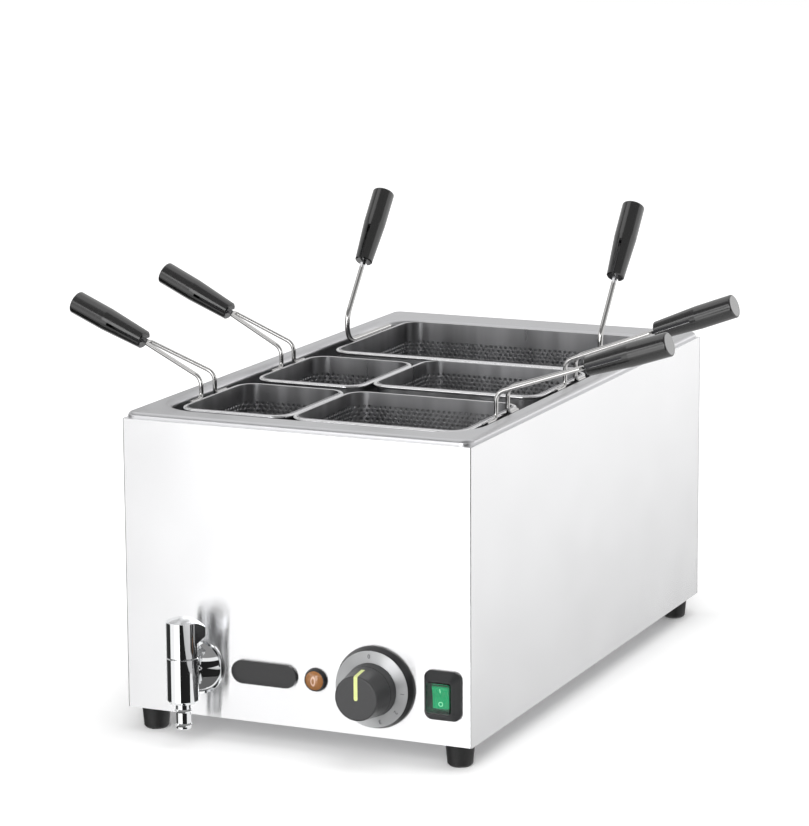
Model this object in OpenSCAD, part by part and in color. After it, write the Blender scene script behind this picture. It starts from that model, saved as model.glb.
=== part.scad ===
// Countertop electric pasta cooker with five lift-out baskets.
// Millimetres, +Z up, the front of the cooker faces -Y.

/* [Casing] */
// Width of the casing
body_w = 340; // [325:1:400]
// Depth of the casing, front face to rear face
body_d = 595; // [575:1:680]
// Height of the casing sheet
body_h = 267.5; // [250:0.5:320]
// Sheet thickness of casing, rear panel and base plate
sheet = 1; // [0.8:0.1:1.4]
// Outside radius of the casing's upright bends
bend_r = 2; // [1.8:0.1:4]
// Width of the lip turned in along the casing's top
lip_w = 14; // [8:1:16]
// Width of the returns that carry the rear panel
return_w = 16; // [12:1:25]
// Height of the base plate's upturned edge
base_edge_h = 12; // [8:1:20]
// Gap between fixed pieces that slide into each other
fit_gap = 0.2; // [0.1:0.05:0.4]
// Gap between pieces that move past each other
run_gap = 0.3; // [0.2:0.05:0.6]
// Radial clearance of a shaft that turns in its bore
shaft_gap = 0.05; // [0.02:0.01:0.08]

/* [Feet and screws] */
// Height of the rubber feet
foot_h = 22; // [16:1:40]
// Diameter of a foot at the base plate
foot_d = 27; // [24:1:34]
// Diameter of a foot where it stands
foot_tip_d = 23; // [20:1:24]
// Distance of the foot centres from the casing's faces
foot_inset = 19; // [18:1:40]
// Depth of the screw recess in a foot
foot_recess_h = 12; // [8:1:14]
// Diameter of the screws that hold the feet
foot_screw_d = 5; // [4:0.5:6]
// Diameter of the screws that hold the rear panel
rear_screw_d = 4; // [3:0.5:5]

/* [Tank] */
// Inset of the flange from the casing's faces
flange_inset = 1.5; // [1:0.5:8]
// Height of the flange above the casing's top
flange_h = 6; // [4:0.5:10]
// Corner radius of the flange
flange_r = 10; // [6:1:20]
// Radius of the flange's rolled outer edge
fold_r = 4.5; // [2:0.5:5]
// Flat width of the flange along the front
flange_front = 22; // [15:1:30]
// Flat width of the flange along the back
flange_back = 37.5; // [20:0.5:45]
// Flat width of the flange along each side
flange_side = 11; // [10:0.5:20]
// Radius of the rolled lip between flange and tank wall
rolled_r = 6; // [1.5:0.5:8]
// Sheet thickness of the tank
tank_wall = 1.2; // [0.8:0.1:1.4]
// Depth of the tank, flange to floor
tank_depth = 151; // [135:1:165]
// Corner radius of the tank in plan
tank_r = 42; // [30:1:60]
// Radius between the tank's walls and floor
floor_r = 14; // [6:1:20]
// Height of the false bottom above the tank floor
rest_h = 22; // [14:1:30]
// Sheet thickness of the false bottom
rest_t = 1.2; // [0.8:0.1:2]
// Diameter of the drain spigot under the tank floor
drain_d = 18; // [14:1:20]
// Wall of the drain spigot and its hose
drain_wall = 1.5; // [1:0.5:2.5]
// Distance of the drain behind the casing's front face
drain_back = 62; // [58:1:75]

/* [Heating] */
// Diameter of the tubular heating element
element_d = 8.5; // [6:0.5:10]
// Length of the heating element's runs
element_l = 380; // [300:10:400]
// Distance of the element's outer runs from the tank's walls
element_margin = 36; // [30:1:50]
// Shift of the element behind the tank's middle
element_shift = 18; // [10:1:25]
// Width of the bars that clamp the element
clamp_w = 22; // [15:1:30]
// Diameter of the sensor bulb
bulb_d = 6.5; // [5:0.5:8]
// Diameter of the capillary tube
capillary_d = 2; // [1.5:0.5:3]
// Diameter of the overheat cut-out
limiter_d = 16; // [12:1:20]

/* [Controls] */
// Height of the control row above the casing's bottom
panel_h = 46; // [42:1:60]
// Place of the thermostat dial across the panel, as a share of the casing's width
dial_at = 0.2315; // [0.22:0.0005:0.24]
// Diameter of the dial's base
dial_d = 74.5; // [72:0.5:76]
// Depth of the dial's base
dial_h = 9; // [6:0.5:12]
// Outside diameter of the dial's metal ring
ring_d = 69.4; // [66:0.2:70]
// Knob diameter at its base
knob_d = 48.5; // [44:0.5:56]
// Knob diameter at its face
knob_tip_d = 40.5; // [34:0.5:43]
// Knob length
knob_l = 31.5; // [24:0.5:33]
// Width of the pointer on the knob
pointer_w = 3.6; // [2:0.2:5]
// Diameter of the thermostat's spindle
spindle_d = 6; // [5:0.5:8]
// Place of the pilot lamp across the panel, as a share of the casing's width
lamp_at = 0.0603; // [0.05:0.0005:0.07]
// Diameter of the pilot lamp's bezel
lamp_d = 21.6; // [18:0.2:24]
// Place of the name plate across the panel, as a share of the casing's width
plate_at = -0.0894; // [-0.1:0.0005:-0.085]
// Length of the name plate
plate_l = 64; // [50:1:66]
// Height of the name plate
plate_h = 21.5; // [16:0.5:26]
// Place of the switch across the panel, as a share of the casing's width
switch_at = 0.4215; // [0.412:0.0005:0.425]
// Width of the switch frame
switch_w = 34.5; // [32:0.5:36]
// Height of the switch frame
switch_h = 44.5; // [40:0.5:48]
// Distance of the switch's middle below the control row
switch_drop = 0.6; // [0:0.1:3]
// Width of the clear splash boot
boot_w = 23.5; // [22:0.5:26]
// Height of the clear splash boot
boot_l = 28.5; // [27:0.5:32]
// How far the splash boot stands out of the panel
boot_h = 13; // [12:0.5:18]
// Width of the rocker
rocker_w = 15; // [12:0.5:16]
// Length of the rocker
rocker_l = 20; // [16:0.5:21]
// Swing of the rocker between off and on
rocker_swing = 14; // [8:1:18]

/* [Drain tap] */
// Place of the tap across the panel, as a share of the casing's width
tap_at = -0.2853; // [-0.3:0.0005:-0.275]
// Distance of the tap's upright axis from the panel
tap_gap = 30.5; // [28:0.5:40]
// Diameter of the tap body
tap_d = 29; // [26:0.5:34]
// Height of the tap body's top above the control row
tap_up = 16; // [12:0.5:20]
// Height of the tap body's bottom below the control row
tap_down = 26; // [20:0.5:28]
// Height of the lever cap at its crown
lever_h = 36; // [30:1:44]
// Distance of the lever's beak from the tap's axis
beak_l = 21; // [18:0.5:26]
// Height of the beak's underside where it leaves the round cap
beak_up = 13.5; // [8:0.5:18]
// Height of the beak's underside at its tip
beak_tip_up = 19; // [14:0.5:22]
// Turn of the shut lever from straight across towards the back
lever_turn = 22; // [0:1:30]
// Diameter of the wall rosette
rosette_d = 50.5; // [44:0.5:54]
// Height of the rosette's dome
rosette_h = 12; // [8:0.5:13]
// Diameter of the tap's shank
shank_d = 18; // [14:1:20]
// Diameter of the tap's spindle
tap_stem_d = 10; // [8:0.5:12]
// Diameter of the hose nozzle
nozzle_d = 13.7; // [12:0.1:16]
// Length of the hose nozzle
nozzle_l = 24; // [18:1:30]
// Bore of the hose nozzle
nozzle_bore = 8; // [6:0.5:9]

/* [Baskets] */
// Diameter of the wire round a basket's rim
rim_d = 3.6; // [3:0.2:6]
// Sheet thickness of a basket
basket_t = 1; // [0.8:0.1:1.5]
// Corner radius of a basket's rim
basket_r = 18; // [14:1:24]
// Radius between a basket's wall and floor
basket_floor_r = 9; // [4:1:12]
// Height of the rim wires below the flange's top
rim_drop = 3; // [1:0.5:6]
// Width of the two narrow baskets at the rim wire
narrow_w = 107.25; // [90:0.25:112]
// Length of the two narrow baskets at the rim wire
narrow_d = 133; // [132:0.5:136]
// Length of the two wider baskets at the rim wire
wide_d = 136.5; // [136:0.5:139]
// Gap from the tank's left wall to the narrow baskets' rim wire
left_gap = 16.75; // [14:0.25:24]
// Gap from the tank's right wall to the wider baskets' rim wire
right_gap = 7.25; // [7:0.25:14]
// Gap from the tank's side walls to the large basket's rim wire
large_side_gap = 20; // [12:0.5:30]
// Gap between a narrow basket's and a wider basket's rim wires
middle_gap = 4.25; // [4:0.25:14]
// Gap from the tank's front wall to the front baskets' rim wire
front_gap = 10; // [9.5:0.5:20]
// Gap between the first and the second row of wider baskets
row_gap = 35.5; // [10:0.5:40]
// Gap between the second row and the large basket
large_gap = 11; // [7:0.25:20]
// Gap from the large basket to the tank's back wall
back_gap = 5; // [4:0.5:12]

/* [Basket handles] */
// Diameter of the looped handle wire
wire_d = 4; // [3:0.5:5]
// Distance between a loop's two legs
leg_gap = 27; // [20:1:34]
// Length of the feet welded along the rim
weld_l = 22; // [14:1:26]
// Place of the front left handle behind its basket's middle
front_left_shift = 0.2; // [0:0.1:12]
// Place of the second left handle behind its basket's middle
mid_left_shift = 12.4; // [0:0.1:12.5]
// Place of the front right handle behind its basket's middle
front_right_shift = 13.8; // [0:0.1:14.2]
// Place of the second right handle behind its basket's middle
mid_right_shift = 8.8; // [0:0.1:12]
// Height of the narrow baskets' loops at their bend above the rim wire
narrow_leg_h = 19.5; // [18:0.5:30]
// Height of the wider baskets' loops at their bend above the rim wire
wide_leg_h = 24.5; // [18:0.5:30]
// Run of the narrow baskets' loops out to their narrow end
narrow_arm_l = 62.8; // [50:0.1:90]
// Run of the wider baskets' loops out to their narrow end
wide_arm_l = 80.2; // [60:0.1:90]
// Difference in run between the first row's loop and the middle of its pair
arm_step = 2; // [0:0.1:4]
// Rise of the narrow baskets' loops above level
narrow_rise = 23; // [10:0.5:35]
// Rise of the wider baskets' loops above level
wide_rise = 19.5; // [10:0.5:35]
// Difference in rise between the second row's loop and the middle of its pair
rise_step = 1.1; // [0:0.1:3]
// Turn of the narrow baskets' loops towards the back
narrow_skew = 4.5; // [0:0.5:10]
// Turn of the wider baskets' loops towards the front
wide_skew = 1.5; // [0:0.5:6]
// Diameter of the rod on the large basket
rod_d = 5; // [4:0.5:6]
// Length of the rod's foot along the rim
rod_foot_l = 101; // [90:1:110]
// Height of the rod's bend above its foot
rod_bend_h = 25.5; // [25:0.5:36]
// Length of the rod from its bend to the grip
rod_l = 59.5; // [50:0.5:90]
// Lean of the rod above level
rod_lean = 51.5; // [40:0.5:70]
// Length of a grip
grip_l = 81; // [70:1:100]
// Diameter of a grip at its far end
grip_d = 22; // [20:0.5:26]
// Diameter of a grip where the wire goes in
grip_neck_d = 17.5; // [15:0.5:20]
// Length of the slot in a grip
slot_l = 38; // [30:1:45]
// Thickness of the tang held in a grip
tang_t = 2.4; // [1.6:0.2:3]

/* [Rear] */
// Place of the cable gland across the rear panel, as a share of the casing's width
gland_at = 0.3235; // [0.2:0.0005:0.34]
// Height of the cable gland above the casing's bottom
gland_up = 38; // [30:1:60]
// How far the cable gland stands out of the rear panel
gland_out = 20; // [16:1:26]
// Bore of the cable gland
gland_bore = 8; // [6:0.5:10]

/* [Hidden] */
$fn = 48;

// Colours as the object shows them
steel = "#e4e5e6";
satin_steel = "#bfc1c3";
basket_steel = "#8f9194";
chrome = "#d5d7d9";
black_plastic = "#232324";
black_rubber = "#1b1b1c";
ring_silver = "#c4c6c8";
pointer_green = "#d6dc8c";
amber = "#8a4a22";
rocker_green = "#0aa06e";
boot_green = "#20493c";
grey_plastic = "#77797b";
brass_yellow = "#b99a52";
hose_white = "#d9d6cc";

// Heights from the ground
case_z = foot_h;
top_z = case_z + body_h;
flange_z = top_z + flange_h;
floor_z = flange_z - tank_depth;
under_z = floor_z - tank_wall;
panel_z = case_z + panel_h;

// Places across the panel
dial_x = dial_at * body_w;
lamp_x = lamp_at * body_w;
plate_x = plate_at * body_w;
switch_x = switch_at * body_w;
tap_x = tap_at * body_w;
gland_x = gland_at * body_w;

// Faces of the casing and the tank before the origin is set
front_y = -body_d / 2;
back_y = body_d / 2;
flange_w = body_w - 2 * flange_inset;
flange_d = body_d - 2 * flange_inset;
tank_side = flange_w / 2 - flange_side - rolled_r;
tank_front = front_y + flange_inset + flange_front + rolled_r;
tank_back = back_y - flange_inset - flange_back - rolled_r;
tank_w = 2 * tank_side;
tank_d = tank_back - tank_front;
tank_y = (tank_front + tank_back) / 2;
drain_y = front_y + drain_back;

// Baskets: rim wire height, floor height and
// [centre x, centre y, width, length, handle side, loop shift, loop run, rise, skew, bend height]
rim_z = flange_z - rim_drop;
rest_z = floor_z + rest_h;
basket_z = rest_z + run_gap;
rim_r = rim_d / 2;
weld_gap = 0.1;
wide_w = tank_w - left_gap - narrow_w - middle_gap - right_gap;
row_step = wide_d + row_gap;
narrow_x = -tank_side + left_gap + narrow_w / 2;
wide_x = tank_side - right_gap - wide_w / 2;
front_row_y = tank_front + front_gap + wide_d / 2;
mid_row_y = front_row_y + row_step;
narrow_back = 17.7;
large_front = mid_row_y + wide_d / 2 + large_gap;
large_d = tank_back - back_gap - large_front;
FRONT_LEFT = [
    narrow_x, front_row_y, narrow_w, narrow_d, -1, front_left_shift,
    narrow_arm_l + arm_step, narrow_rise - rise_step, narrow_skew, narrow_leg_h
];
MID_LEFT = [
    narrow_x, mid_row_y - narrow_back, narrow_w, narrow_d, -1, mid_left_shift,
    narrow_arm_l - arm_step, narrow_rise + rise_step, narrow_skew, narrow_leg_h
];
FRONT_RIGHT = [
    wide_x, front_row_y, wide_w, wide_d, 1, front_right_shift,
    wide_arm_l - arm_step, wide_rise - rise_step, -wide_skew, wide_leg_h
];
MID_RIGHT = [
    wide_x, mid_row_y, wide_w, wide_d, 1, mid_right_shift,
    wide_arm_l + arm_step, wide_rise + rise_step, -wide_skew, wide_leg_h
];
LARGE = [0, large_front + large_d / 2, tank_w - 2 * large_side_gap, large_d, 1, 0];

// Handles: bend radii, grip seats and the loop's arm direction
foot_bend_r = 6;
leg_bend_r = 11;
hairpin_half = 4;
hairpin_r = 3.4;
rod_foot_r = 15;
rod_bend_r = 24;
rod_lift = 3;
grip_gap = 4;
grip_edge_r = 1.5;
grip_taper_l = 44;
tang_w = 6;
tang_gap = 0.2;

// Controls: depths out of the panel
bush_d = 10;
bush_out = 5;
ring_rise = 2;
ring_edge = 0.5;
knob_z = dial_h + ring_rise + run_gap;
knob_edge_r = 1.5;
pointer_t = 0.8;
pointer_side_l = 16;
lamp_neck_d = 13.2;
lamp_lens_d = 17.2;
lamp_seat = 1.2;
pivot_d = 3;
pivot_z = 1.5;
ear_t = 1;
cutout_w = rocker_w + 2 * ear_t + 4 * run_gap;
cutout_h = rocker_l + 4;
thermo_w = 46;
thermo_h = 38;
thermo_d = 26;
spindle_in = 20;

// Tap: axis and levels
tap_y = front_y - tap_gap;
tap_top = panel_z + tap_up;
tap_bottom = panel_z - tap_down;
lever_gap = 0.4;
seam_edge = 0.6;
crown_r = 30;
shank_in = 24;
nut_h = 7;
stem_in = 11;
nozzle_in = 8;

// Heating: element pitch and height, clamp bars along the tank
element_pitch = (tank_w - 2 * element_margin) / 3;
element_z = under_z - run_gap - element_d / 2;
element_y = tank_y + element_shift;
element_bend_r = 18;
clamp_t = 2;
clamp_z = element_z - element_d / 2 - clamp_t;
clamp_rows = [-0.36, 0, 0.36];
stud_d = 6;
stud_out = 14;
bulb_l = 80;

// The origin lies under the middle of the whole outline
loop_x = rim_r + weld_gap + wire_d / 2;
function reach(b) = b[2] / 2 + loop_x + (b[6] + (grip_gap + grip_l) * cos(b[7])) * cos(b[8])
    + grip_d / 2 * sqrt(1 - pow(cos(b[7]) * cos(b[8]), 2));
left_reach = narrow_x - max(reach(FRONT_LEFT), reach(MID_LEFT));
right_reach = wide_x + max(reach(FRONT_RIGHT), reach(MID_RIGHT));
front_reach = min(tap_y - tap_d / 2, front_y - knob_z - knob_l);
back_reach = back_y + gland_out;
origin = [(left_reach + right_reach) / 2, (front_reach + back_reach) / 2, 0];

// Moves a piece from the casing's middle to the part's origin
module placed() {
    translate(-origin) children();
}

// Length on a grid of 1/8 mm, so that pieces of one outline meet exactly
function near(v) = round(v * 8) / 8;

// Rounded rectangle centred on the origin
module plate2d(w, d, r) {
    x = near(w / 2 - r);
    y = near(d / 2 - r);
    square([2 * x, 2 * (y + r)], center = true);
    square([2 * (x + r), 2 * y], center = true);
    for (sx = [-1, 1], sy = [-1, 1]) translate([sx * x, sy * y]) circle(r);
}

// Slot with round ends along X
module slot2d(l, w) {
    square([l - w, w], center = true);
    for (s = [-1, 1]) translate([s * (l - w) / 2, 0]) circle(d = w);
}

// Quarter of a ring of outer radius r and wall t in the quadrant of signs sx, sy
module quarter_band(r, t, sx, sy) {
    intersection() {
        difference() {
            circle(r);
            circle(r - t);
        }
        translate([sx * r / 2, sy * r / 2]) square(r, center = true);
    }
}

// Sweeps a profile, X outward and Y up, round a rounded rectangle
module sweep_round(w, d, r) {
    x = near(w / 2 - r);
    y = near(d / 2 - r);
    for (turn = [0, 180]) rotate(turn) {
        translate([x, y, 0]) rotate([90, 0, 0]) linear_extrude(2 * y) translate([r, 0]) children();
        rotate(90) translate([y, x, 0]) rotate([90, 0, 0]) linear_extrude(2 * x) translate([r, 0]) children();
    }
    corners = [[1, 1, 0], [-1, 1, 90], [-1, -1, 180], [1, -1, 270]];
    for (c = corners)
        translate([c[0] * x, c[1] * y, 0]) rotate(c[2])
            rotate_extrude(angle = 90) translate([r, 0]) children();
}

// Turns a piece so that its +Z points out of the front panel
module on_panel(x) {
    translate([x, front_y, panel_z]) rotate([90, 0, 0]) children();
}

function unit(v) = v / norm(v);
function across(v) = unit(cross(abs(v[2]) < 0.9 ? [0, 0, 1] : [1, 0, 0], v));
function turn(a, b) = acos(min(1, max(-1, a * b)));

// Matrix whose columns are the given axes and place
function axes(x, y, z, p) = [
    [x[0], y[0], z[0], p[0]], [x[1], y[1], z[1], p[1]], [x[2], y[2], z[2], p[2]], [0, 0, 0, 1]
];

// Straight round bar between two points
module bar(a, b, d) {
    z = unit(b - a);
    x = across(z);
    multmatrix(axes(x, cross(z, x), z, a)) cylinder(d = d, h = norm(b - a));
}

// Round wire through points p with bend radius r[i] at point p[i]; the bends swell a little as pressed wire does
module bent_wire(p, r, d, swell = 0.03) {
    lap = 12 * swell;
    last = len(p) - 1;
    dir = [for (i = [0:last - 1]) unit(p[i + 1] - p[i])];
    cut = [for (i = [0:last]) i == 0 || i == last ? 0 : r[i] * tan(turn(dir[i - 1], dir[i]) / 2)];
    for (i = [0:last - 1])
        bar(
            p[i] + dir[i] * (cut[i] - (i == 0 ? 0 : lap)),
            p[i + 1] - dir[i] * (cut[i + 1] - (i + 1 == last ? 0 : lap)), d
        );
    for (i = [1:last - 1]) {
        n = unit(cross(dir[i - 1], dir[i]));
        m = cross(n, dir[i - 1]);
        start = p[i] - dir[i - 1] * cut[i];
        multmatrix(axes(-m, dir[i - 1], n, start + m * r[i]))
            rotate_extrude(angle = turn(dir[i - 1], dir[i])) translate([r[i], 0])
                circle(d = d + 2 * swell);
    }
}

// Casing: front and sides in one folded sheet, with a top lip and rear returns
module casing_plan() {
    difference() {
        translate([0, -sheet / 2]) difference() {
            plate2d(body_w, body_d - sheet, bend_r);
            plate2d(body_w - 2 * sheet, body_d - 3 * sheet, bend_r - sheet);
        }
        translate([0, back_y - sheet]) square([body_w - 2 * return_w, 4 * sheet], center = true);
    }
}

module casing_lip_plan() {
    difference() {
        translate([0, -sheet / 2]) plate2d(body_w, body_d - sheet, bend_r);
        translate([0, lip_w]) square([body_w - 2 * lip_w, body_d], center = true);
    }
}

module rear_screw_places() {
    for (sx = [-1, 1], k = [0.08, 0.36, 0.64, 0.92])
        translate([sx * (body_w - return_w) / 2, back_y, case_z + k * body_h])
            rotate([-90, 0, 0]) children();
}

module casing() {
    color(steel) placed() difference() {
        union() {
            translate([0, 0, case_z]) linear_extrude(body_h) casing_plan();
            translate([0, 0, top_z - sheet]) linear_extrude(sheet) casing_lip_plan();
        }
        on_panel(tap_x) cylinder(d = shank_d + 2 * fit_gap, h = 4 * sheet, center = true);
        on_panel(lamp_x) cylinder(d = lamp_neck_d + 2 * fit_gap, h = 4 * sheet, center = true);
        on_panel(dial_x) cylinder(d = bush_d + 2 * fit_gap, h = 4 * sheet, center = true);
        on_switch() cube([cutout_w, cutout_h, 4 * sheet], center = true);
        rear_screw_places() cylinder(d = rear_screw_d + 2 * fit_gap, h = 6 * sheet, center = true);
    }
}

// Rear panel: flat sheet with vents, screwed on the casing's returns
module rear_panel() {
    vent_l = 34;
    vent_w = 4;
    vents = 6;
    color(steel) placed() {
        difference() {
            translate([0, back_y, case_z + body_h / 2]) rotate([90, 0, 0]) linear_extrude(sheet)
                difference() {
                    square([body_w, body_h], center = true);
                    for (i = [0:vents - 1])
                        translate([-body_w / 5, (i - (vents - 1) / 2) * 2.5 * vent_w - body_h / 3.4])
                            slot2d(vent_l, vent_w);
                }
            rear_screw_places() cylinder(d = rear_screw_d + 2 * fit_gap, h = 6 * sheet, center = true);
            translate([gland_x, back_y, case_z + gland_up]) rotate([90, 0, 0])
                cylinder(d = gland_thread_d + 2 * fit_gap, h = 4 * sheet, center = true);
        }
        lip_l = body_w - 2 * lip_w - 2 * fit_gap;
        translate([-lip_l / 2, back_y - sheet - lip_w, top_z - sheet]) cube([lip_l, lip_w, sheet]);
    }
}

// Base plate: tray that closes the casing from below
module foot_places() {
    for (sx = [-1, 1], sy = [-1, 1])
        translate([sx * (body_w / 2 - foot_inset), sy * (body_d / 2 - foot_inset), 0]) children();
}

module base_plate() {
    w = body_w - 2 * sheet - 2 * fit_gap;
    d = body_d - 3 * sheet - 2 * fit_gap;
    vent_l = 60;
    vent_w = 5;
    color(satin_steel) placed() difference() {
        translate([0, -sheet / 2, case_z]) union() {
            linear_extrude(sheet) difference() {
                plate2d(w, d, bend_r);
                for (sx = [-1, 1], i = [-4:4])
                    translate([sx * w / 4, i * 5 * vent_w + d / 8]) slot2d(vent_l, vent_w);
            }
            linear_extrude(base_edge_h) difference() {
                plate2d(w, d, bend_r);
                plate2d(w - 2 * sheet, d - 2 * sheet, bend_r - sheet);
            }
        }
        foot_places() translate([0, 0, case_z + sheet / 2])
            cylinder(d = foot_screw_d + 2 * fit_gap, h = 4 * sheet, center = true);
    }
}

// Rubber feet with a recess for the screw head
module feet() {
    tip_chamfer = 2;
    head_r = foot_screw_d * 1.1;
    hole_r = foot_screw_d / 2 + fit_gap;
    color(black_rubber) placed() foot_places() rotate_extrude() polygon([
        [head_r, 0], [foot_tip_d / 2 - tip_chamfer, 0], [foot_tip_d / 2, tip_chamfer],
        [foot_d / 2, foot_h], [hole_r, foot_h], [hole_r, foot_recess_h], [head_r, foot_recess_h]
    ]);
}

module foot_screws() {
    head_h = 3.4;
    foot_nut_h = 4;
    color(satin_steel) placed() foot_places() {
        translate([0, 0, foot_recess_h - head_h]) cylinder(d = foot_screw_d * 1.8, h = head_h);
        translate([0, 0, foot_recess_h])
            cylinder(d = foot_screw_d, h = case_z + sheet - foot_recess_h + foot_nut_h + 2);
        translate([0, 0, case_z + sheet]) cylinder(d = foot_screw_d * 1.8, h = foot_nut_h, $fn = 6);
    }
}

module rear_screws() {
    head_h = 2.4;
    color(satin_steel) placed() rear_screw_places() {
        cylinder(d = rear_screw_d * 2, h = head_h);
        translate([0, 0, -8]) cylinder(d = rear_screw_d, h = 8);
    }
}

// Tank: drawn well with a rolled flange and a drain spigot
module tank_edge_profile() {
    translate([-fold_r, -fold_r]) quarter_band(fold_r, tank_wall, 1, 1);
    translate([-tank_wall, -flange_h]) square([tank_wall, flange_h - fold_r]);
}

module tank_wall_profile() {
    translate([rolled_r, -rolled_r]) quarter_band(rolled_r, tank_wall, -1, 1);
    translate([0, floor_r - tank_depth]) square([tank_wall, tank_depth - floor_r - rolled_r]);
    translate([-floor_r, floor_r - tank_depth]) quarter_band(floor_r + tank_wall, tank_wall, 1, -1);
}

module tank() {
    color(satin_steel) placed() difference() {
        union() {
            translate([0, 0, flange_z - tank_wall]) linear_extrude(tank_wall) difference() {
                plate2d(flange_w - 2 * fold_r, flange_d - 2 * fold_r, flange_r - fold_r);
                translate([0, tank_y])
                    plate2d(tank_w + 2 * rolled_r, tank_d + 2 * rolled_r, tank_r + rolled_r);
            }
            translate([0, 0, flange_z]) sweep_round(flange_w, flange_d, flange_r) tank_edge_profile();
            translate([0, tank_y, flange_z]) sweep_round(tank_w, tank_d, tank_r) tank_wall_profile();
            translate([0, tank_y, under_z]) linear_extrude(tank_wall)
                plate2d(tank_w - 2 * floor_r, tank_d - 2 * floor_r, tank_r - floor_r);
            translate([tap_x, drain_y, under_z - shank_d]) cylinder(d = drain_d, h = shank_d);
        }
        translate([tap_x, drain_y, under_z - 2 * shank_d])
            cylinder(d = drain_d - 2 * drain_wall, h = 4 * shank_d);
    }
}

// False bottom: perforated plate on folded legs, on which the baskets stand
module false_bottom() {
    w = tank_w - 2 * 4;
    d = tank_d - 2 * 4;
    hole_d = 12;
    step = 34;
    leg_x = tank_side - floor_r - 6;
    color(satin_steel) placed() translate([0, tank_y, 0]) {
        translate([0, 0, rest_z - rest_t]) linear_extrude(rest_t) difference() {
            plate2d(w, d, tank_r - 4);
            for (i = [-3:3], j = [-6:6]) translate([i * step, j * step]) circle(d = hole_d);
        }
        for (s = [-1, 1]) translate([s * leg_x, 0, floor_z + (rest_h - rest_t) / 2])
            cube([rest_t, d * 0.7, rest_h - rest_t], center = true);
    }
}

// Heating element: four runs of tube under the tank floor
module heating_element() {
    y1 = element_y - element_l / 2;
    y2 = element_y + element_l / 2;
    tail = 30;
    pin_l = 14;
    runs = [for (i = [0:3]) (i - 1.5) * element_pitch];
    path = [
        [runs[0], y1 - tail, element_z], [runs[0], y2, element_z], [runs[1], y2, element_z],
        [runs[1], y1, element_z], [runs[2], y1, element_z], [runs[2], y2, element_z],
        [runs[3], y2, element_z], [runs[3], y1 - tail, element_z]
    ];
    bends = [for (p = path) element_bend_r];
    color(grey_plastic) placed() {
        bent_wire(path, bends, element_d);
        for (x = [runs[0], runs[3]])
            bar([x, y1 - tail, element_z], [x, y1 - tail - pin_l, element_z], element_d / 2);
    }
}

// Bars that press the element against the tank, hung on studs under the floor
module element_clamps() {
    l = 3 * element_pitch + 4 * stud_out;
    color(satin_steel) placed() for (k = clamp_rows) translate([0, element_y + k * element_l, 0]) {
        translate([-l / 2, -clamp_w / 2, clamp_z - fit_gap]) cube([l, clamp_w, clamp_t]);
        for (s = [-1, 1]) translate([s * (1.5 * element_pitch + stud_out), 0, 0]) {
            translate([0, 0, clamp_z - stud_d]) cylinder(d = stud_d, h = under_z - clamp_z + stud_d);
            translate([0, 0, clamp_z - fit_gap - 5]) cylinder(d = stud_d * 1.8, h = 5, $fn = 6);
        }
    }
}

// Sensor bulb against the tank floor, with its capillary tube to the thermostat
module sensor_bulb() {
    x = element_pitch;
    z = under_z - run_gap - bulb_d / 2;
    y = element_y;
    tube_y = front_y + 78;
    tube_r = 12;
    color(brass_yellow) placed() {
        bar([x, y - bulb_l / 2, z], [x, y + bulb_l / 2, z], bulb_d);
        bent_wire([
            [x, y - bulb_l / 2 + 1, z], [x, tube_y, z], [x, tube_y, panel_z],
            [x, front_y + sheet + thermo_d, panel_z]
        ], [0, tube_r, tube_r, 0], capillary_d);
    }
}

// Overheat cut-out: disc thermostat against the tank floor
module overheat_cutout() {
    color(black_plastic) placed() translate([-element_pitch, element_y + element_l * 0.18, 0]) {
        translate([0, 0, under_z - 9]) cylinder(d = limiter_d, h = 9);
        translate([0, 0, under_z - 0.6]) cube([2 * limiter_d, 10, 1.2], center = true);
        for (s = [-1, 1]) translate([s * 4, 0, under_z - 13]) cube([0.8, 6.3, 9], center = true);
    }
}

// Thermostat body behind the panel, with the bush of its spindle
module thermostat() {
    color(grey_plastic) placed() on_panel(dial_x) difference() {
        union() {
            translate([-thermo_w / 2, -thermo_h / 2, -sheet - thermo_d])
                cube([thermo_w, thermo_h, thermo_d]);
            translate([0, 0, -sheet]) cylinder(d = bush_d, h = sheet + bush_out);
        }
        translate([0, 0, -sheet - spindle_in])
            cylinder(d = spindle_d + 2 * shaft_gap, h = 2 * spindle_in);
    }
}

module thermostat_spindle() {
    color(satin_steel) placed() on_panel(dial_x) translate([0, 0, run_gap - sheet - spindle_in])
        cylinder(d = spindle_d, h = sheet + spindle_in + knob_z + knob_l / 2 - run_gap);
}

// Dial: black base and brushed ring, both fixed on the panel
module dial_base() {
    skirt = 2.5;
    brim = 0.3;
    color(black_plastic) placed() on_panel(dial_x) rotate_extrude() polygon([
        [bush_d / 2 + fit_gap, 0], [dial_d / 2, 0], [dial_d / 2, skirt],
        [ring_d / 2 + brim, dial_h], [bush_d / 2 + fit_gap, dial_h]
    ]);
}

module dial_ring() {
    ring_in = knob_d / 2 - 5;
    color(ring_silver) placed() on_panel(dial_x) rotate_extrude() polygon([
        [ring_in, dial_h], [ring_d / 2, dial_h], [ring_d / 2, dial_h + ring_edge],
        [ring_in, dial_h + ring_rise]
    ]);
}

// Knob: tapered grip with an inlaid pointer across its face and down its side
module knob_profile(inset) {
    r = knob_edge_r;
    tip = knob_tip_d / 2 - inset;
    top = knob_z + knob_l - inset;
    polygon([
        [0, knob_z], [knob_d / 2 - inset, knob_z], [tip, top - r], [tip - r, top - r], [tip - r, top], [0, top]
    ]);
    intersection() {
        translate([tip - r, top - r]) circle(r);
        translate([tip - r, top - r]) square(2 * r);
    }
}

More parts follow.
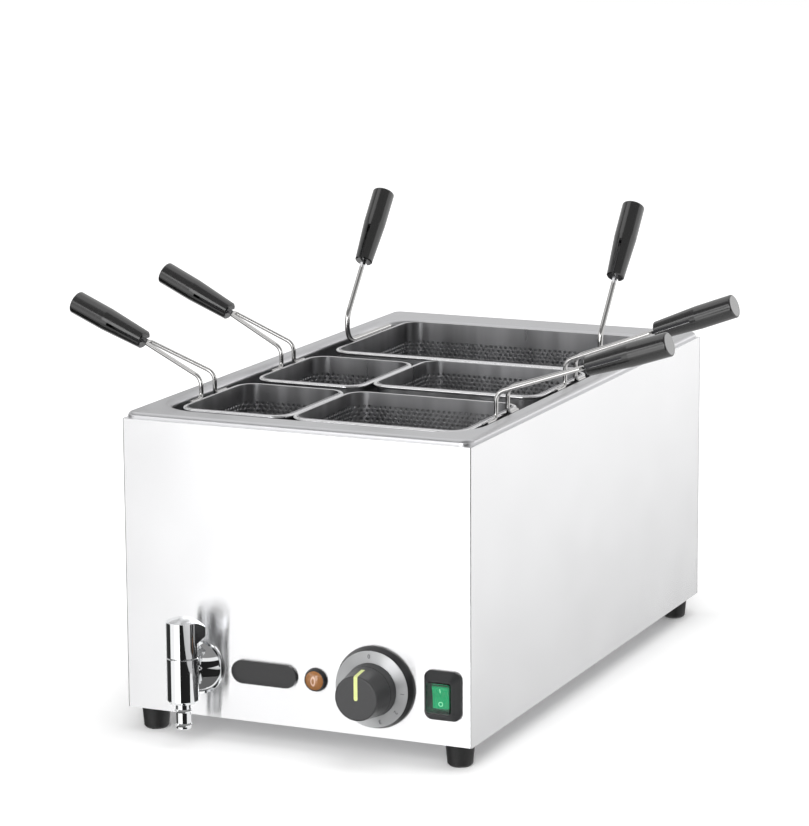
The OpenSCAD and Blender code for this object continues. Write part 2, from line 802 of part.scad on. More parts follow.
module pointer_slab(grow) {
    w = pointer_w + 2 * grow;
    translate([-w / 2, 0, knob_z + knob_l - pointer_side_l - grow]) cube([w, knob_d, pointer_side_l + 2]);
    translate([0, 0, knob_z + knob_l - pointer_side_l - grow]) cylinder(d = w, h = pointer_side_l + 2);
}

module knob() {
    groove_z = 8;
    groove_w = 0.7;
    groove_t = 0.5;
    groove_r = knob_d / 2 - (knob_d - knob_tip_d) / 2 * groove_z / (knob_l - knob_edge_r) - groove_t;
    color(black_plastic) placed() on_panel(dial_x) difference() {
        rotate_extrude() knob_profile(0);
        rotate_extrude() translate([groove_r, knob_z + groove_z]) square([knob_d, groove_w]);
        difference() {
            pointer_slab(0);
            rotate_extrude() knob_profile(pointer_t);
        }
        translate([0, 0, knob_z - 1]) cylinder(d = spindle_d + 2 * weld_gap, h = knob_l / 2 + 1 + weld_gap);
    }
}

module knob_pointer() {
    color(pointer_green) placed() on_panel(dial_x) intersection() {
        difference() {
            rotate_extrude() knob_profile(0);
            rotate_extrude() knob_profile(pointer_t);
        }
        pointer_slab(0);
    }
}

// Pilot lamp
module lamp_bezel() {
    bezel_h = 4.5;
    edge = 1.2;
    color(black_plastic) placed() on_panel(lamp_x) rotate_extrude() polygon([
        [lamp_lens_d / 2 + fit_gap, 0], [lamp_d / 2, 0], [lamp_d / 2, edge],
        [lamp_d / 2 - edge, bezel_h], [lamp_lens_d / 2 + fit_gap, bezel_h]
    ]);
}

module lamp_lens() {
    dome_r = 14;
    crown = 7.5;
    color(amber) placed() on_panel(lamp_x) intersection() {
        translate([0, 0, lamp_seat]) cylinder(d = lamp_lens_d, h = crown);
        translate([0, 0, crown - dome_r]) sphere(dome_r);
    }
}

module lamp_body() {
    body_l = 28;
    lamp_nut_h = 4;
    color(black_plastic) placed() on_panel(lamp_x) {
        translate([0, 0, -sheet - body_l]) cylinder(d = lamp_neck_d, h = sheet + body_l + lamp_seat);
        translate([0, 0, -sheet - lamp_nut_h]) cylinder(d = lamp_neck_d * 1.5, h = lamp_nut_h, $fn = 6);
    }
}

// Oval name plate, left bare
module name_plate() {
    plate_t = 3;
    border = 2;
    recess = 0.6;
    color(black_plastic) placed() on_panel(plate_x) difference() {
        linear_extrude(plate_t) slot2d(plate_l, plate_h);
        translate([0, 0, plate_t - recess])
            linear_extrude(2 * recess) slot2d(plate_l - 2 * border, plate_h - 2 * border);
    }
}

// Rocker switch: frame, clear boot, rocker on its pivot, body behind the panel
boot_t = 1;
boot_r = 3;
hood_wall = 1;
hood_h = 11;

module on_switch() {
    on_panel(switch_x) translate([0, -switch_drop, 0]) children();
}

module switch_frame() {
    brim_t = 2.5;
    brim_r = 7;
    color(black_plastic) placed() on_switch() difference() {
        hull() {
            linear_extrude(brim_t) plate2d(switch_w, switch_h, brim_r);
            linear_extrude(hood_h) plate2d(boot_w + 2 * hood_wall, boot_l + 2 * hood_wall, boot_r + hood_wall);
        }
        translate([0, 0, -1]) linear_extrude(2 * hood_h) plate2d(boot_w, boot_l, boot_r);
    }
}

module switch_boot() {
    w = boot_w - 2 * fit_gap;
    l = boot_l - 2 * fit_gap;
    r = boot_r - fit_gap;
    edge = 1.2;
    color(boot_green) placed() on_switch() difference() {
        hull() {
            linear_extrude(boot_h - edge) plate2d(w, l, r);
            linear_extrude(boot_h) plate2d(w - 2 * edge, l - 2 * edge, r - edge);
        }
        translate([0, 0, -1]) linear_extrude(boot_h + 1 - boot_t)
            plate2d(w - 2 * boot_t, l - 2 * boot_t, r - boot_t);
    }
}

module switch_rocker() {
    half = rocker_l / 2;
    color(rocker_green) placed() on_switch() translate([0, 0, pivot_z]) {
        rotate([rocker_swing / 2, 0, 0]) rotate([90, 0, 90])
            linear_extrude(rocker_w, center = true) polygon([
                [-half, 3], [-half, 5.5], [0, 4.5], [half, 5.5], [half, 3], [4, -2.5], [-4, -2.5]
            ]);
        rotate([0, 90, 0]) cylinder(d = pivot_d, h = cutout_w - 2 * fit_gap, center = true);
    }
}

module switch_body() {
    body_back = 24;
    cavity = 5;
    w = cutout_w - 2 * fit_gap;
    h = cutout_h - 2 * fit_gap;
    color(black_plastic) placed() on_switch() difference() {
        translate([-w / 2, -h / 2, -body_back]) cube([w, h, body_back + pivot_z + pivot_d]);
        translate([-w / 2 + ear_t, -h, -cavity]) cube([w - 2 * ear_t, 2 * h, body_back]);
        translate([0, 0, pivot_z]) rotate([0, 90, 0])
            cylinder(d = pivot_d + 2 * shaft_gap, h = 2 * w, center = true);
    }
}

// Drain tap
module tap_rosette() {
    rim_t = 2.5;
    rim_w = 1.8;
    r = rosette_d / 2 - rim_w;
    dome_r = (r * r + rosette_h * rosette_h) / (2 * rosette_h);
    color(chrome) placed() on_panel(tap_x) difference() {
        union() {
            cylinder(d = rosette_d, h = rim_t);
            intersection() {
                translate([0, 0, rim_t + rosette_h - dome_r]) sphere(dome_r);
                translate([0, 0, rim_t]) cylinder(r = r, h = rosette_h);
            }
        }
        translate([0, 0, -1]) cylinder(d = shank_d + 2 * fit_gap, h = 4 * rosette_h);
    }
}

module tap_body() {
    foot_edge = 3;
    color(chrome) placed() difference() {
        union() {
            translate([tap_x, tap_y, tap_bottom + foot_edge])
                cylinder(d = tap_d, h = tap_top - tap_bottom - foot_edge - seam_edge);
            translate([tap_x, tap_y, tap_top - seam_edge])
                cylinder(d1 = tap_d, d2 = tap_d - 2 * seam_edge, h = seam_edge);
            translate([tap_x, tap_y, tap_bottom])
                cylinder(d1 = tap_d - 2 * foot_edge, d2 = tap_d, h = foot_edge);
            bar([tap_x, tap_y, panel_z], [tap_x, front_y + sheet + shank_in, panel_z], shank_d);
        }
        translate([tap_x, tap_y, tap_top - stem_in])
            cylinder(d = tap_stem_d + 2 * shaft_gap, h = 2 * stem_in);
        translate([tap_x, tap_y, tap_bottom - 1]) cylinder(d = nozzle_d - 3 + 2 * fit_gap, h = nozzle_in + 1);
        translate([tap_x, tap_y, tap_bottom])
            cylinder(d = nozzle_bore + 1, h = tap_top - tap_bottom - stem_in / 2);
        bar([tap_x, tap_y, panel_z], [tap_x, front_y + 2 * shank_in, panel_z], shank_d - 4 * drain_wall);
    }
}

module tap_nozzle() {
    r = nozzle_d / 2;
    barb = 0.9;
    step = 1.6;
    low = 4;
    high = nozzle_l - 7;
    color(chrome) placed() translate([tap_x, tap_y, tap_bottom - nozzle_l]) rotate_extrude() polygon([
        [nozzle_bore / 2, 0], [r - 0.8, 0], [r, 0.8],
        [r, low - step], [r + barb, low], [r, low + step],
        [r, high - step], [r + barb, high], [r, high + step],
        [r, nozzle_l], [r - 1.5, nozzle_l], [r - 1.5, nozzle_l + nozzle_in - fit_gap],
        [nozzle_bore / 2, nozzle_l + nozzle_in - fit_gap]
    ]);
}

module tap_nut() {
    color(brass_yellow) placed() on_panel(tap_x) translate([0, 0, -sheet - nut_h]) difference() {
        cylinder(d = shank_d * 1.6, h = nut_h, $fn = 6);
        translate([0, 0, -1]) cylinder(d = shank_d + 2 * fit_gap, h = nut_h + 2);
    }
}

// Lever cap: round, drawn out to a beak near the top, domed above
module tap_handle() {
    r = tap_d / 2;
    tip_w = 1;
    rise = (beak_tip_up - beak_up) / (beak_l - r);
    root = r / 2;
    color(chrome) placed() translate([tap_x, tap_y, tap_top + lever_gap]) rotate(lever_turn) difference() {
        intersection() {
            union() {
                cylinder(d1 = tap_d - 2 * seam_edge, d2 = tap_d, h = seam_edge);
                translate([0, 0, seam_edge]) cylinder(d = tap_d, h = lever_h - seam_edge);
                intersection() {
                    linear_extrude(lever_h) polygon([
                        [r * 0.42, r * 0.86], [beak_l - 1.5, tip_w + 1.2], [beak_l, tip_w],
                        [beak_l, -tip_w], [beak_l - 1.5, -tip_w - 1.2], [r * 0.42, -r * 0.86]
                    ]);
                    rotate([90, 0, 0]) linear_extrude(2 * tap_d, center = true) polygon([
                        [root, beak_up - (r - root) * rise], [2 * beak_l, beak_up + (2 * beak_l - r) * rise],
                        [2 * beak_l, 3 * lever_h], [root, 3 * lever_h]
                    ]);
                }
            }
            translate([0, 0, lever_h - crown_r]) sphere(crown_r);
        }
        translate([0, 0, -1]) cylinder(d = tap_stem_d + 2 * weld_gap, h = lever_h / 2 + 1 + weld_gap);
    }
}

module tap_spindle() {
    color(brass_yellow) placed() translate([tap_x, tap_y, tap_top - stem_in + run_gap])
        cylinder(d = tap_stem_d, h = stem_in - run_gap + lever_gap + lever_h / 2);
}

// Hose from the tank's spigot to the tap's shank
module drain_hose() {
    bore = max(drain_d, shank_d) + 2 * fit_gap;
    path = [
        [tap_x, drain_y, under_z - 2], [tap_x, drain_y, panel_z], [tap_x, front_y + sheet + nut_h + 2, panel_z]
    ];
    bend = [0, 26, 0];
    dir_in = [0, 0, 1];
    dir_out = [0, -1, 0];
    long = [path[0] + dir_in, path[1], path[2] + dir_out];
    color(hose_white) placed() difference() {
        bent_wire(path, bend, bore + 2 * drain_wall, 0);
        bent_wire(long, bend, bore, 0);
    }
}

// Cable gland in the rear panel
gland_thread_d = 16;
module cable_gland() {
    hex_h = 5;
    nut_t = 4;
    color(black_plastic) placed() translate([gland_x, back_y, case_z + gland_up]) rotate([-90, 0, 0])
        difference() {
            union() {
                cylinder(d = gland_thread_d * 1.5, h = hex_h, $fn = 6);
                cylinder(d = gland_thread_d * 1.25, h = gland_out - 3);
                translate([0, 0, gland_out - 3])
                    cylinder(d1 = gland_thread_d * 1.25, d2 = gland_thread_d * 0.8, h = 3);
                translate([0, 0, -sheet - 9]) cylinder(d = gland_thread_d, h = 10);
                translate([0, 0, -sheet - nut_t]) cylinder(d = gland_thread_d * 1.4, h = nut_t, $fn = 6);
            }
            translate([0, 0, -20]) cylinder(d = gland_bore, h = 60);
        }
}

// Terminal block on the base plate
module terminal_block() {
    w = 34;
    d = 18;
    h = 20;
    color("#e6e2d6") placed() translate([gland_x - w, back_y - 70, case_z + sheet]) difference() {
        translate([-w / 2, -d / 2, 0]) cube([w, d, h]);
        for (i = [-1:1]) translate([i * w / 3.2, 0, h * 0.55]) rotate([90, 0, 0])
            cylinder(d = 5, h = 2 * d, center = true);
    }
}

// Basket shell: sheet walls and floor in one drawn piece
module basket_shell(b) {
    out = rim_r + weld_gap;
    inner = out + basket_t;
    wall_top = rim_z + rim_r;
    fr = basket_floor_r;
    color(basket_steel) placed() translate([b[0], b[1], 0]) {
        sweep_round(b[2], b[3], basket_r) {
            translate([-inner, basket_z + fr]) square([basket_t, wall_top - basket_z - fr]);
            translate([-out - fr, basket_z + fr]) quarter_band(fr, basket_t, 1, -1);
        }
        translate([0, 0, basket_z]) linear_extrude(basket_t)
            plate2d(b[2] - 2 * (out + fr), b[3] - 2 * (out + fr), basket_r - out - fr);
    }
}

// Wire round a basket's rim
module basket_rim(b) {
    color(satin_steel) placed() translate([b[0], b[1], rim_z]) sweep_round(b[2], b[3], basket_r) circle(rim_r);
}

// Grip on a tang: turned form with a slot across its neck, along +X
module grip_form() {
    r = grip_d / 2;
    e = grip_edge_r;
    neck = grip_neck_d / 2;
    difference() {
        rotate([0, 90, 0]) rotate_extrude() {
            polygon([
                [0, 0], [neck - 1, 0], [neck, 1], [r, grip_taper_l], [r, grip_l - e], [r - e, grip_l - e],
                [r - e, grip_l], [0, grip_l]
            ]);
            translate([r - e, grip_l - e]) intersection() {
                circle(e);
                square(2 * e);
            }
        }
        translate([-1, -grip_d, -tang_t / 2 - tang_gap])
            cube([slot_l + 1, 2 * grip_d, tang_t + 2 * tang_gap]);
    }
}

// Tang from a wire's end into the grip, along +X
module tang(back) {
    translate([-back, -tang_w / 2, -tang_t / 2]) cube([back + grip_gap + slot_l - 1, tang_w, tang_t]);
}

// Narrow end of a loop from the middle of its feet
function loop_end(b) = [b[6] * cos(b[8]), b[6] * sin(b[8]), b[9] + b[6] * tan(b[7])];

// Place of the narrow end of a loop, with +X along its arm
module at_loop_end(b) {
    translate([b[0] + b[4] * (b[2] / 2 + loop_x), b[1] + b[5], rim_z]) mirror([b[4] < 0 ? 1 : 0, 0, 0])
        translate(loop_end(b)) rotate([0, -b[7], b[8]]) children();
}

// Looped wire handle of the four smaller baskets
module loop_handle(b) {
    side = leg_gap / 2;
    end = loop_end(b);
    turn_side = hairpin_half * [-sin(b[8]), cos(b[8]), 0];
    path = [
        [0, -side - weld_l, 0], [0, -side, 0], [0, -side, b[9]], end - turn_side,
        end + turn_side, [0, side, b[9]], [0, side, 0], [0, side + weld_l, 0]
    ];
    bends = [0, foot_bend_r, leg_bend_r, hairpin_r, hairpin_r, leg_bend_r, foot_bend_r, 0];
    color(chrome) placed() {
        translate([b[0] + b[4] * (b[2] / 2 + loop_x), b[1] + b[5], rim_z])
            mirror([b[4] < 0 ? 1 : 0, 0, 0]) bent_wire(path, bends, wire_d);
        at_loop_end(b) tang(1);
    }
}

module loop_grip(b) {
    color(black_plastic) placed() at_loop_end(b) translate([grip_gap, 0, 0]) grip_form();
}

// Place of the rod's upper end on one side of the large basket, with +X along the rod
rod_x = LARGE[2] / 2 + sqrt(pow(rim_r + weld_gap + rod_d / 2, 2) - pow(rod_lift, 2));
rod_front = LARGE[1] - rod_foot_l / 2 + 0.8;
module at_rod_end(s) {
    translate([
        s * rod_x, rod_front + rod_l * cos(rod_lean), rim_z + rod_lift + rod_bend_h + rod_l * sin(rod_lean)
    ]) rotate([0, 0, 90]) rotate([0, -rod_lean, 0]) rotate([90, 0, 0]) children();
}

// Rod handle of the large basket: foot along the end rim, bent up and leaning back
module rod_handle(s) {
    z = rim_z + rod_lift;
    bend_z = z + rod_bend_h;
    x = s * rod_x;
    color(chrome) placed() {
        bent_wire([
            [x, rod_front + rod_foot_l, z], [x, rod_front, z], [x, rod_front, bend_z],
            [x, rod_front + rod_l * cos(rod_lean), bend_z + rod_l * sin(rod_lean)]
        ], [0, rod_foot_r, rod_bend_r, 0], rod_d);
        at_rod_end(s) tang(3);
    }
}

module rod_grip(s) {
    color(black_plastic) placed() at_rod_end(s) translate([grip_gap, 0, 0]) grip_form();
}

module front_left_basket() { basket_shell(FRONT_LEFT); }
module front_left_rim() { basket_rim(FRONT_LEFT); }
module front_left_handle() { loop_handle(FRONT_LEFT); }
module front_left_grip() { loop_grip(FRONT_LEFT); }
module front_right_basket() { basket_shell(FRONT_RIGHT); }
module front_right_rim() { basket_rim(FRONT_RIGHT); }
module front_right_handle() { loop_handle(FRONT_RIGHT); }
module front_right_grip() { loop_grip(FRONT_RIGHT); }
module mid_left_basket() { basket_shell(MID_LEFT); }
module mid_left_rim() { basket_rim(MID_LEFT); }
module mid_left_handle() { loop_handle(MID_LEFT); }
module mid_left_grip() { loop_grip(MID_LEFT); }
module mid_right_basket() { basket_shell(MID_RIGHT); }
module mid_right_rim() { basket_rim(MID_RIGHT); }
module mid_right_handle() { loop_handle(MID_RIGHT); }
module mid_right_grip() { loop_grip(MID_RIGHT); }
module large_basket() { basket_shell(LARGE); }
module large_rim() { basket_rim(LARGE); }
module large_handle_left() { rod_handle(-1); }
module large_handle_right() { rod_handle(1); }
module large_grip_left() { rod_grip(-1); }
module large_grip_right() { rod_grip(1); }

casing();
rear_panel();
base_plate();
feet();
foot_screws();
rear_screws();
tank();
false_bottom();
heating_element();
element_clamps();
sensor_bulb();
overheat_cutout();
thermostat();
thermostat_spindle();
dial_base();
dial_ring();
knob();
knob_pointer();
lamp_bezel();
lamp_lens();
lamp_body();
name_plate();
switch_frame();
switch_boot();
switch_rocker();
switch_body();
tap_rosette();
tap_body();
tap_nozzle();
tap_nut();
tap_handle();
tap_spindle();
drain_hose();
cable_gland();
terminal_block();
front_left_basket();
front_left_rim();
front_left_handle();
front_left_grip();
front_right_basket();
front_right_rim();
front_right_handle();
front_right_grip();
mid_left_basket();
mid_left_rim();
mid_left_handle();
mid_left_grip();
mid_right_basket();
mid_right_rim();
mid_right_handle();
mid_right_grip();
large_basket();
large_rim();
large_handle_left();
large_handle_right();
large_grip_left();
large_grip_right();
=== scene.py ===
"""Countertop pasta cooker: finishes of the solids, punched baskets, dial and switch marks, studio, camera."""
import logging
from dataclasses import dataclass, field
from enum import Enum
from math import atan2, cos, pi, radians, sin, tau
from typing import Callable, Dict, List, Optional, Sequence, Tuple, Union

import bmesh
import bpy
from mathutils import Matrix, Vector


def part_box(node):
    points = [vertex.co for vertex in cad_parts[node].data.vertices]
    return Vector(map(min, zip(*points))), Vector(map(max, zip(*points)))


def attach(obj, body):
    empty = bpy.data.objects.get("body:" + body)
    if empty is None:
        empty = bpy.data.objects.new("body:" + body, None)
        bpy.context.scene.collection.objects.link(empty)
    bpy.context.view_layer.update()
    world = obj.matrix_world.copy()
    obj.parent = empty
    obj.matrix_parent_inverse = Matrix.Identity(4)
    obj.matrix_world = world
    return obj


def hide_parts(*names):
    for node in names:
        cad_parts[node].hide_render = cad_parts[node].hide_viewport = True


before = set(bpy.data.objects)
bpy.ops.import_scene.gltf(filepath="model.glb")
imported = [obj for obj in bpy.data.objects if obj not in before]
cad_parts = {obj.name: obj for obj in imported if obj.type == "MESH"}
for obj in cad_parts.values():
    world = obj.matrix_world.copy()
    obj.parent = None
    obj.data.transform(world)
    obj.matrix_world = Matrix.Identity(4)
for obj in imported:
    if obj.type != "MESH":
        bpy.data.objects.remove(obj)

LOG = logging.getLogger("pasta_cooker")
MM = 0.001
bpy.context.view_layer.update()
Point = Tuple[float, float, float]
Pair = Tuple[float, float]
Source = Union[bpy.types.Node, bpy.types.NodeSocket]

WHITE = (1.0, 1.0, 1.0, 1.0)
# A noise texture keeps to about this span of its 0 to 1
NOISE_SPAN = (0.3, 0.7)
MOTTLE_DETAIL = 2.0
GRAIN_DETAIL = 3.0
# Sockets that a mix node uses for colours
MIX_A = 6
MIX_B = 7
MIX_OUT = 2
# Turns of a punched hole's eight corners, one for each vertex round its cell
OCTAGON = [radians(45 * k) for k in range(8)]
# Vertices whose places agree to this many digits of a millimetre are one vertex
PLACE_DIGITS = 4
# Cells of a reflection card each way
CARD_STEPS = 24
# Points of a printed sign nearer than this, in metres, are one point
WELD = 1e-6


class Body(str, Enum):
    """Bodies of the frame that the printed marks ride on."""

    COOKER = "cooker"
    ROCKER = "rocker"


class Lay(Enum):
    """Lay of a surface pattern: factors on it along X, Y and Z, where a small one draws it out that way."""

    EVEN = (1.0, 1.0, 1.0)
    LEVEL = (0.012, 1.0, 1.0)
    UPRIGHT = (1.0, 1.0, 0.05)


class SlotTone(str, Enum):
    """Painted shade or highlight of a handle's wire where it lies in the slot of its grip: a painted
    highlight for the large grips, painted shade for the left and right ones.
    """

    LARGE = "#D8D8DA"
    LEFT = "#909092"
    RIGHT = "#363638"


def linear(hex_colour: str) -> Tuple[float, float, float, float]:
    """Turns an sRGB hex colour into linear RGBA by the standard's own curve.

    Args:
        hex_colour: a hash and six digits.

    Returns:
        Linear red, green and blue with a full alpha.
    """
    parts = [int(hex_colour[i:i + 2], 16) / 255 for i in (1, 3, 5)]
    lin = [c / 12.92 if c <= 0.04045 else ((c + 0.055) / 1.055) ** 2.4 for c in parts]
    return (lin[0], lin[1], lin[2], 1.0)


class NodeTree:
    """A node tree that grows one node at a time."""

    def __init__(self, tree: bpy.types.NodeTree) -> None:
        """Empties the tree and keeps it."""
        self.tree = tree
        tree.nodes.clear()

    def add(self, kind: str, settings: Optional[Dict] = None, links: Optional[Dict] = None) -> bpy.types.Node:
        """Adds a node.

        Args:
            kind: Blender's shader node type, without that prefix.
            settings: node properties or input defaults by name or index.
            links: sockets, or nodes for their first output, to connect by input name or index.

        Returns:
            The new node.
        """
        node = self.tree.nodes.new("ShaderNode" + kind)
        for key, value in (settings or {}).items():
            if isinstance(key, str) and hasattr(node, key):
                setattr(node, key, value)
            else:
                node.inputs[key].default_value = value
        for key, source in (links or {}).items():
            socket = source.outputs[0] if isinstance(source, bpy.types.Node) else source
            self.tree.links.new(socket, node.inputs[key])
        return node


def blank(name: str) -> Tuple[bpy.types.Material, NodeTree]:
    """Makes a material without nodes.

    Args:
        name: its name.

    Returns:
        The material and its empty tree.
    """
    mat = bpy.data.materials.new(name)
    mat.use_nodes = True
    return mat, NodeTree(mat.node_tree)


def stand(name: str, data: bpy.types.ID) -> bpy.types.Object:
    """Makes an object and links it to the scene.

    Args:
        name: its name.
        data: its mesh, letters, lamp or camera.

    Returns:
        The new object.
    """
    obj = bpy.data.objects.new(name, data)
    bpy.context.scene.collection.objects.link(obj)
    return obj


def soften(mesh: bpy.types.Mesh, sharp: float) -> None:
    """Shades a mesh smooth, with edges over an angle in degrees kept crisp."""
    mesh.polygons.foreach_set("use_smooth", [True] * len(mesh.polygons))
    mesh.set_sharp_from_angle(angle=radians(sharp))


@dataclass(frozen=True)
class Finish:
    """A material with fine mottling of colour and roughness and a fine grain in relief.

    Args:
        name: the real material and how it was made.
        colour: sRGB hex of the middle tone.
        rough: middle roughness, and how much it varies.
        mottle: how much the colour varies, as a factor, and the size of the patches in millimetres.
        grain: depth and width of the grain in millimetres.
        metal: 1 for a metal.
        grain_lay: how the grain is drawn out.
        mottle_lay: how the patches are drawn out.
        brushed: 1 if brushing spreads reflections across its lines, 0 if they spread evenly.
        sockets: constants for the shader's own sockets.
    """

    name: str
    colour: str
    rough: Pair
    mottle: Pair
    grain: Pair
    metal: float = 0.0
    grain_lay: Lay = Lay.EVEN
    mottle_lay: Lay = Lay.EVEN
    brushed: float = 0.0
    sockets: Tuple[Tuple[str, object], ...] = ()

    def spread(self, tree: NodeTree, coords: Source) -> Source:
        """Direction in which reflections spread: upright on every wall."""
        return tree.add("CombineXYZ", {"Z": 1.0})

    def tint(self, tree: NodeTree, coords: Source, tone: Source) -> Source:
        """Base colour: the mottled tone as it is."""
        return tone

    def relief(self, tree: NodeTree, coords: Source) -> Source:
        """Height of the grain from 0 to 1, drawn out along its lay."""
        drawn = tree.add("Mapping", {"Scale": self.grain_lay.value}, {"Vector": coords})
        return tree.add(
            "TexNoise", {"Scale": 1 / (self.grain[1] * MM), "Detail": GRAIN_DETAIL}, {"Vector": drawn}
        )

    def build(self) -> bpy.types.Material:
        """Makes the material.

        Returns:
            The material, with its node tree in place.
        """
        mat, tree = blank(self.name)
        coords = tree.add("TexCoord").outputs["Object"]
        swing, cell_mm = self.mottle
        drawn = tree.add("Mapping", {"Scale": self.mottle_lay.value}, {"Vector": coords})
        noise = {"Scale": 1 / (cell_mm * MM), "Detail": MOTTLE_DETAIL}
        patches = tree.add("TexNoise", noise, {"Vector": drawn})
        middle = linear(self.colour)[:3]
        low = [c * (1 - swing) for c in middle] + [1.0]
        high = [min(1.0, c * (1 + swing)) for c in middle] + [1.0]
        tone = tree.add("Mix", {"data_type": "RGBA", MIX_A: low, MIX_B: high}, {0: patches})
        rough, rough_swing = self.rough
        limits = {
            "From Min": NOISE_SPAN[0],
            "From Max": NOISE_SPAN[1],
            "To Min": max(0.0, rough - rough_swing),
            "To Max": rough + rough_swing,
        }
        haze = tree.add("MapRange", limits, {"Value": patches})
        depth = {"Strength": 1.0, "Distance": self.grain[0] * MM}
        bump = tree.add("Bump", depth, {"Height": self.relief(tree, coords)})
        colour = self.tint(tree, coords, tone.outputs[MIX_OUT])
        links = {"Base Color": colour, "Roughness": haze, "Normal": bump}
        if self.brushed:
            links["Tangent"] = self.spread(tree, coords)
        values = {"Metallic": self.metal, "Anisotropic": self.brushed, **dict(self.sockets)}
        tree.add("OutputMaterial", None, {"Surface": tree.add("BsdfPrincipled", values, links)})
        return mat


@dataclass(frozen=True)
class TurnedFinish(Finish):
    """A face turned on a lathe: fine rings about an axis along Y fan its highlights.

    Args:
        centre_mm: the axis, across and up.
    """

    centre_mm: Pair = (0.0, 0.0)

    def centred(self, tree: NodeTree, coords: Source) -> Source:
        """Coordinates from the turning axis, flat across it."""
        shift = (-self.centre_mm[0] * MM, 0.0, -self.centre_mm[1] * MM)
        return tree.add("Mapping", {"Location": shift, "Scale": (1.0, 0.0, 1.0)}, {"Vector": coords})

    def spread(self, tree: NodeTree, coords: Source) -> Source:
        """Direction in which reflections spread: across the turning rings."""
        away = self.centred(tree, coords)
        return tree.add("VectorMath", {"operation": "NORMALIZE"}, {0: away})

    def relief(self, tree: NodeTree, coords: Source) -> Source:
        """Height of the turning rings, as noise along the radius.

        Args:
            tree: the material's nodes.
            coords: the object's coordinates.

        Returns:
            The height, 0 to 1.
        """
        radius = tree.add("VectorMath", {"operation": "LENGTH"}, {0: self.centred(tree, coords)})
        rings = {"noise_dimensions": "1D", "Scale": 1 / (self.grain[1] * MM), "Detail": MOTTLE_DETAIL}
        return tree.add("TexNoise", rings, {"W": radius.outputs["Value"]})


@dataclass(frozen=True)
class LensFinish(Finish):
    """A moulded lens over a neon tube: its pale loop of an electrode shows through the tint.

    Args:
        centre_mm: the lens's middle across and up.
        loop_mm: half width and half height of the electrode's loop.
        wire_mm: half thickness of the loop.
        pale: sRGB hex of the electrode seen through the tint.
        show: share of that colour in the loop's middle line.
    """

    centre_mm: Pair = (0.0, 0.0)
    loop_mm: Pair = (1.8, 3.6)
    wire_mm: float = 0.8
    pale: str = "#E6C3AE"
    show: float = 0.9

    def tint(self, tree: NodeTree, coords: Source, tone: Source) -> Source:
        """Base colour with the loop laid over it.

        Args:
            tree: the material's nodes.
            coords: the object's coordinates.
            tone: the mottled tone.

        Returns:
            The colour.
        """
        across, up = self.loop_mm
        scale = (1 / (across * MM), 0.0, 1 / (up * MM))
        shift = (-self.centre_mm[0] / across, 0.0, -self.centre_mm[1] / up)
        flat = tree.add("Mapping", {"Location": shift, "Scale": scale}, {"Vector": coords})
        radius = tree.add("VectorMath", {"operation": "LENGTH"}, {0: flat})
        off = tree.add("Math", {"operation": "SUBTRACT", 1: 1.0}, {0: radius.outputs["Value"]})
        off = tree.add("Math", {"operation": "ABSOLUTE"}, {0: off})
        width = {"From Min": 0.0, "From Max": self.wire_mm / across, "To Min": self.show, "To Max": 0.0}
        loop = tree.add("MapRange", width, {"Value": off})
        mix = {"data_type": "RGBA", MIX_B: linear(self.pale)}
        return tree.add("Mix", mix, {0: loop, MIX_A: tone}).outputs[MIX_OUT]


@dataclass(frozen=True)
class TangFinish(Finish):
    """Bright wire with painted shade or a painted highlight where its end lies in the slot of a grip.

    Args:
        low_mm, high_mm: box of the grip that the wire ends in.
        slot_tone: tone of the wire inside that box.
    """

    low_mm: Point = (0.0, 0.0, 0.0)
    high_mm: Point = (1.0, 1.0, 1.0)
    slot_tone: SlotTone = SlotTone.LEFT

    def tint(self, tree: NodeTree, coords: Source, tone: Source) -> Source:
        """Base colour, with painted shade or a painted highlight inside the grip's box.

        Args:
            tree: the material's nodes.
            coords: the object's coordinates.
            tone: the mottled tone.

        Returns:
            The colour.
        """
        spans = list(zip(self.low_mm, self.high_mm))
        scale = [2 / ((b - a) * MM) for a, b in spans]
        shift = [-(a + b) / (b - a) for a, b in spans]
        boxed = tree.add("Mapping", {"Location": shift, "Scale": scale}, {"Vector": coords})
        away = tree.add("VectorMath", {"operation": "ABSOLUTE"}, {0: boxed})
        parts = tree.add("SeparateXYZ", None, {0: away}).outputs
        most = tree.add("Math", {"operation": "MAXIMUM"}, {0: parts[0], 1: parts[1]})
        most = tree.add("Math", {"operation": "MAXIMUM"}, {0: most, 1: parts[2]})
        inside = tree.add("Math", {"operation": "LESS_THAN", 1: 1.0}, {0: most})
        mix = {"data_type": "RGBA", MIX_B: linear(self.slot_tone.value)}
        return tree.add("Mix", mix, {0: inside, MIX_A: tone}).outputs[MIX_OUT]


@dataclass
class Finishes:
    """Every finish of the cooker, built once."""

    made: Dict[str, bpy.types.Material] = field(default_factory=dict)

    def get(self, finish: Finish) -> bpy.types.Material:
        """The material of a finish, built on first use.

        Args:
            finish: the finish.

        Returns:
            Its material.
        """
        if finish.name not in self.made:
            self.made[finish.name] = finish.build()
        return self.made[finish.name]


# After the name and the colour come the pairs for roughness, mottle and grain. Real brushing lines, die marks
# and moulding grain are finer than the widths given, which are as coarse as they need to be to show

# Bright rolled sheet under fine level brushing: reflections keep sharp upright edges and smear up and down
CASING_STEEL = Finish(
    "bright_brushed_stainless_sheet", "#F7F7F8", (0.24, 0.02), (0.012, 60.0), (0.0006, 0.5),
    metal=1.0, grain_lay=Lay.LEVEL, brushed=1.0,
)
# The same sheet with a coarser brushing: a shade greyer, its reflections a little softer
REAR_STEEL = Finish(
    "rear_brushed_stainless_sheet", "#EDEDEE", (0.26, 0.03), (0.02, 60.0), (0.001, 0.5),
    metal=1.0, grain_lay=Lay.LEVEL, brushed=1.0,
)
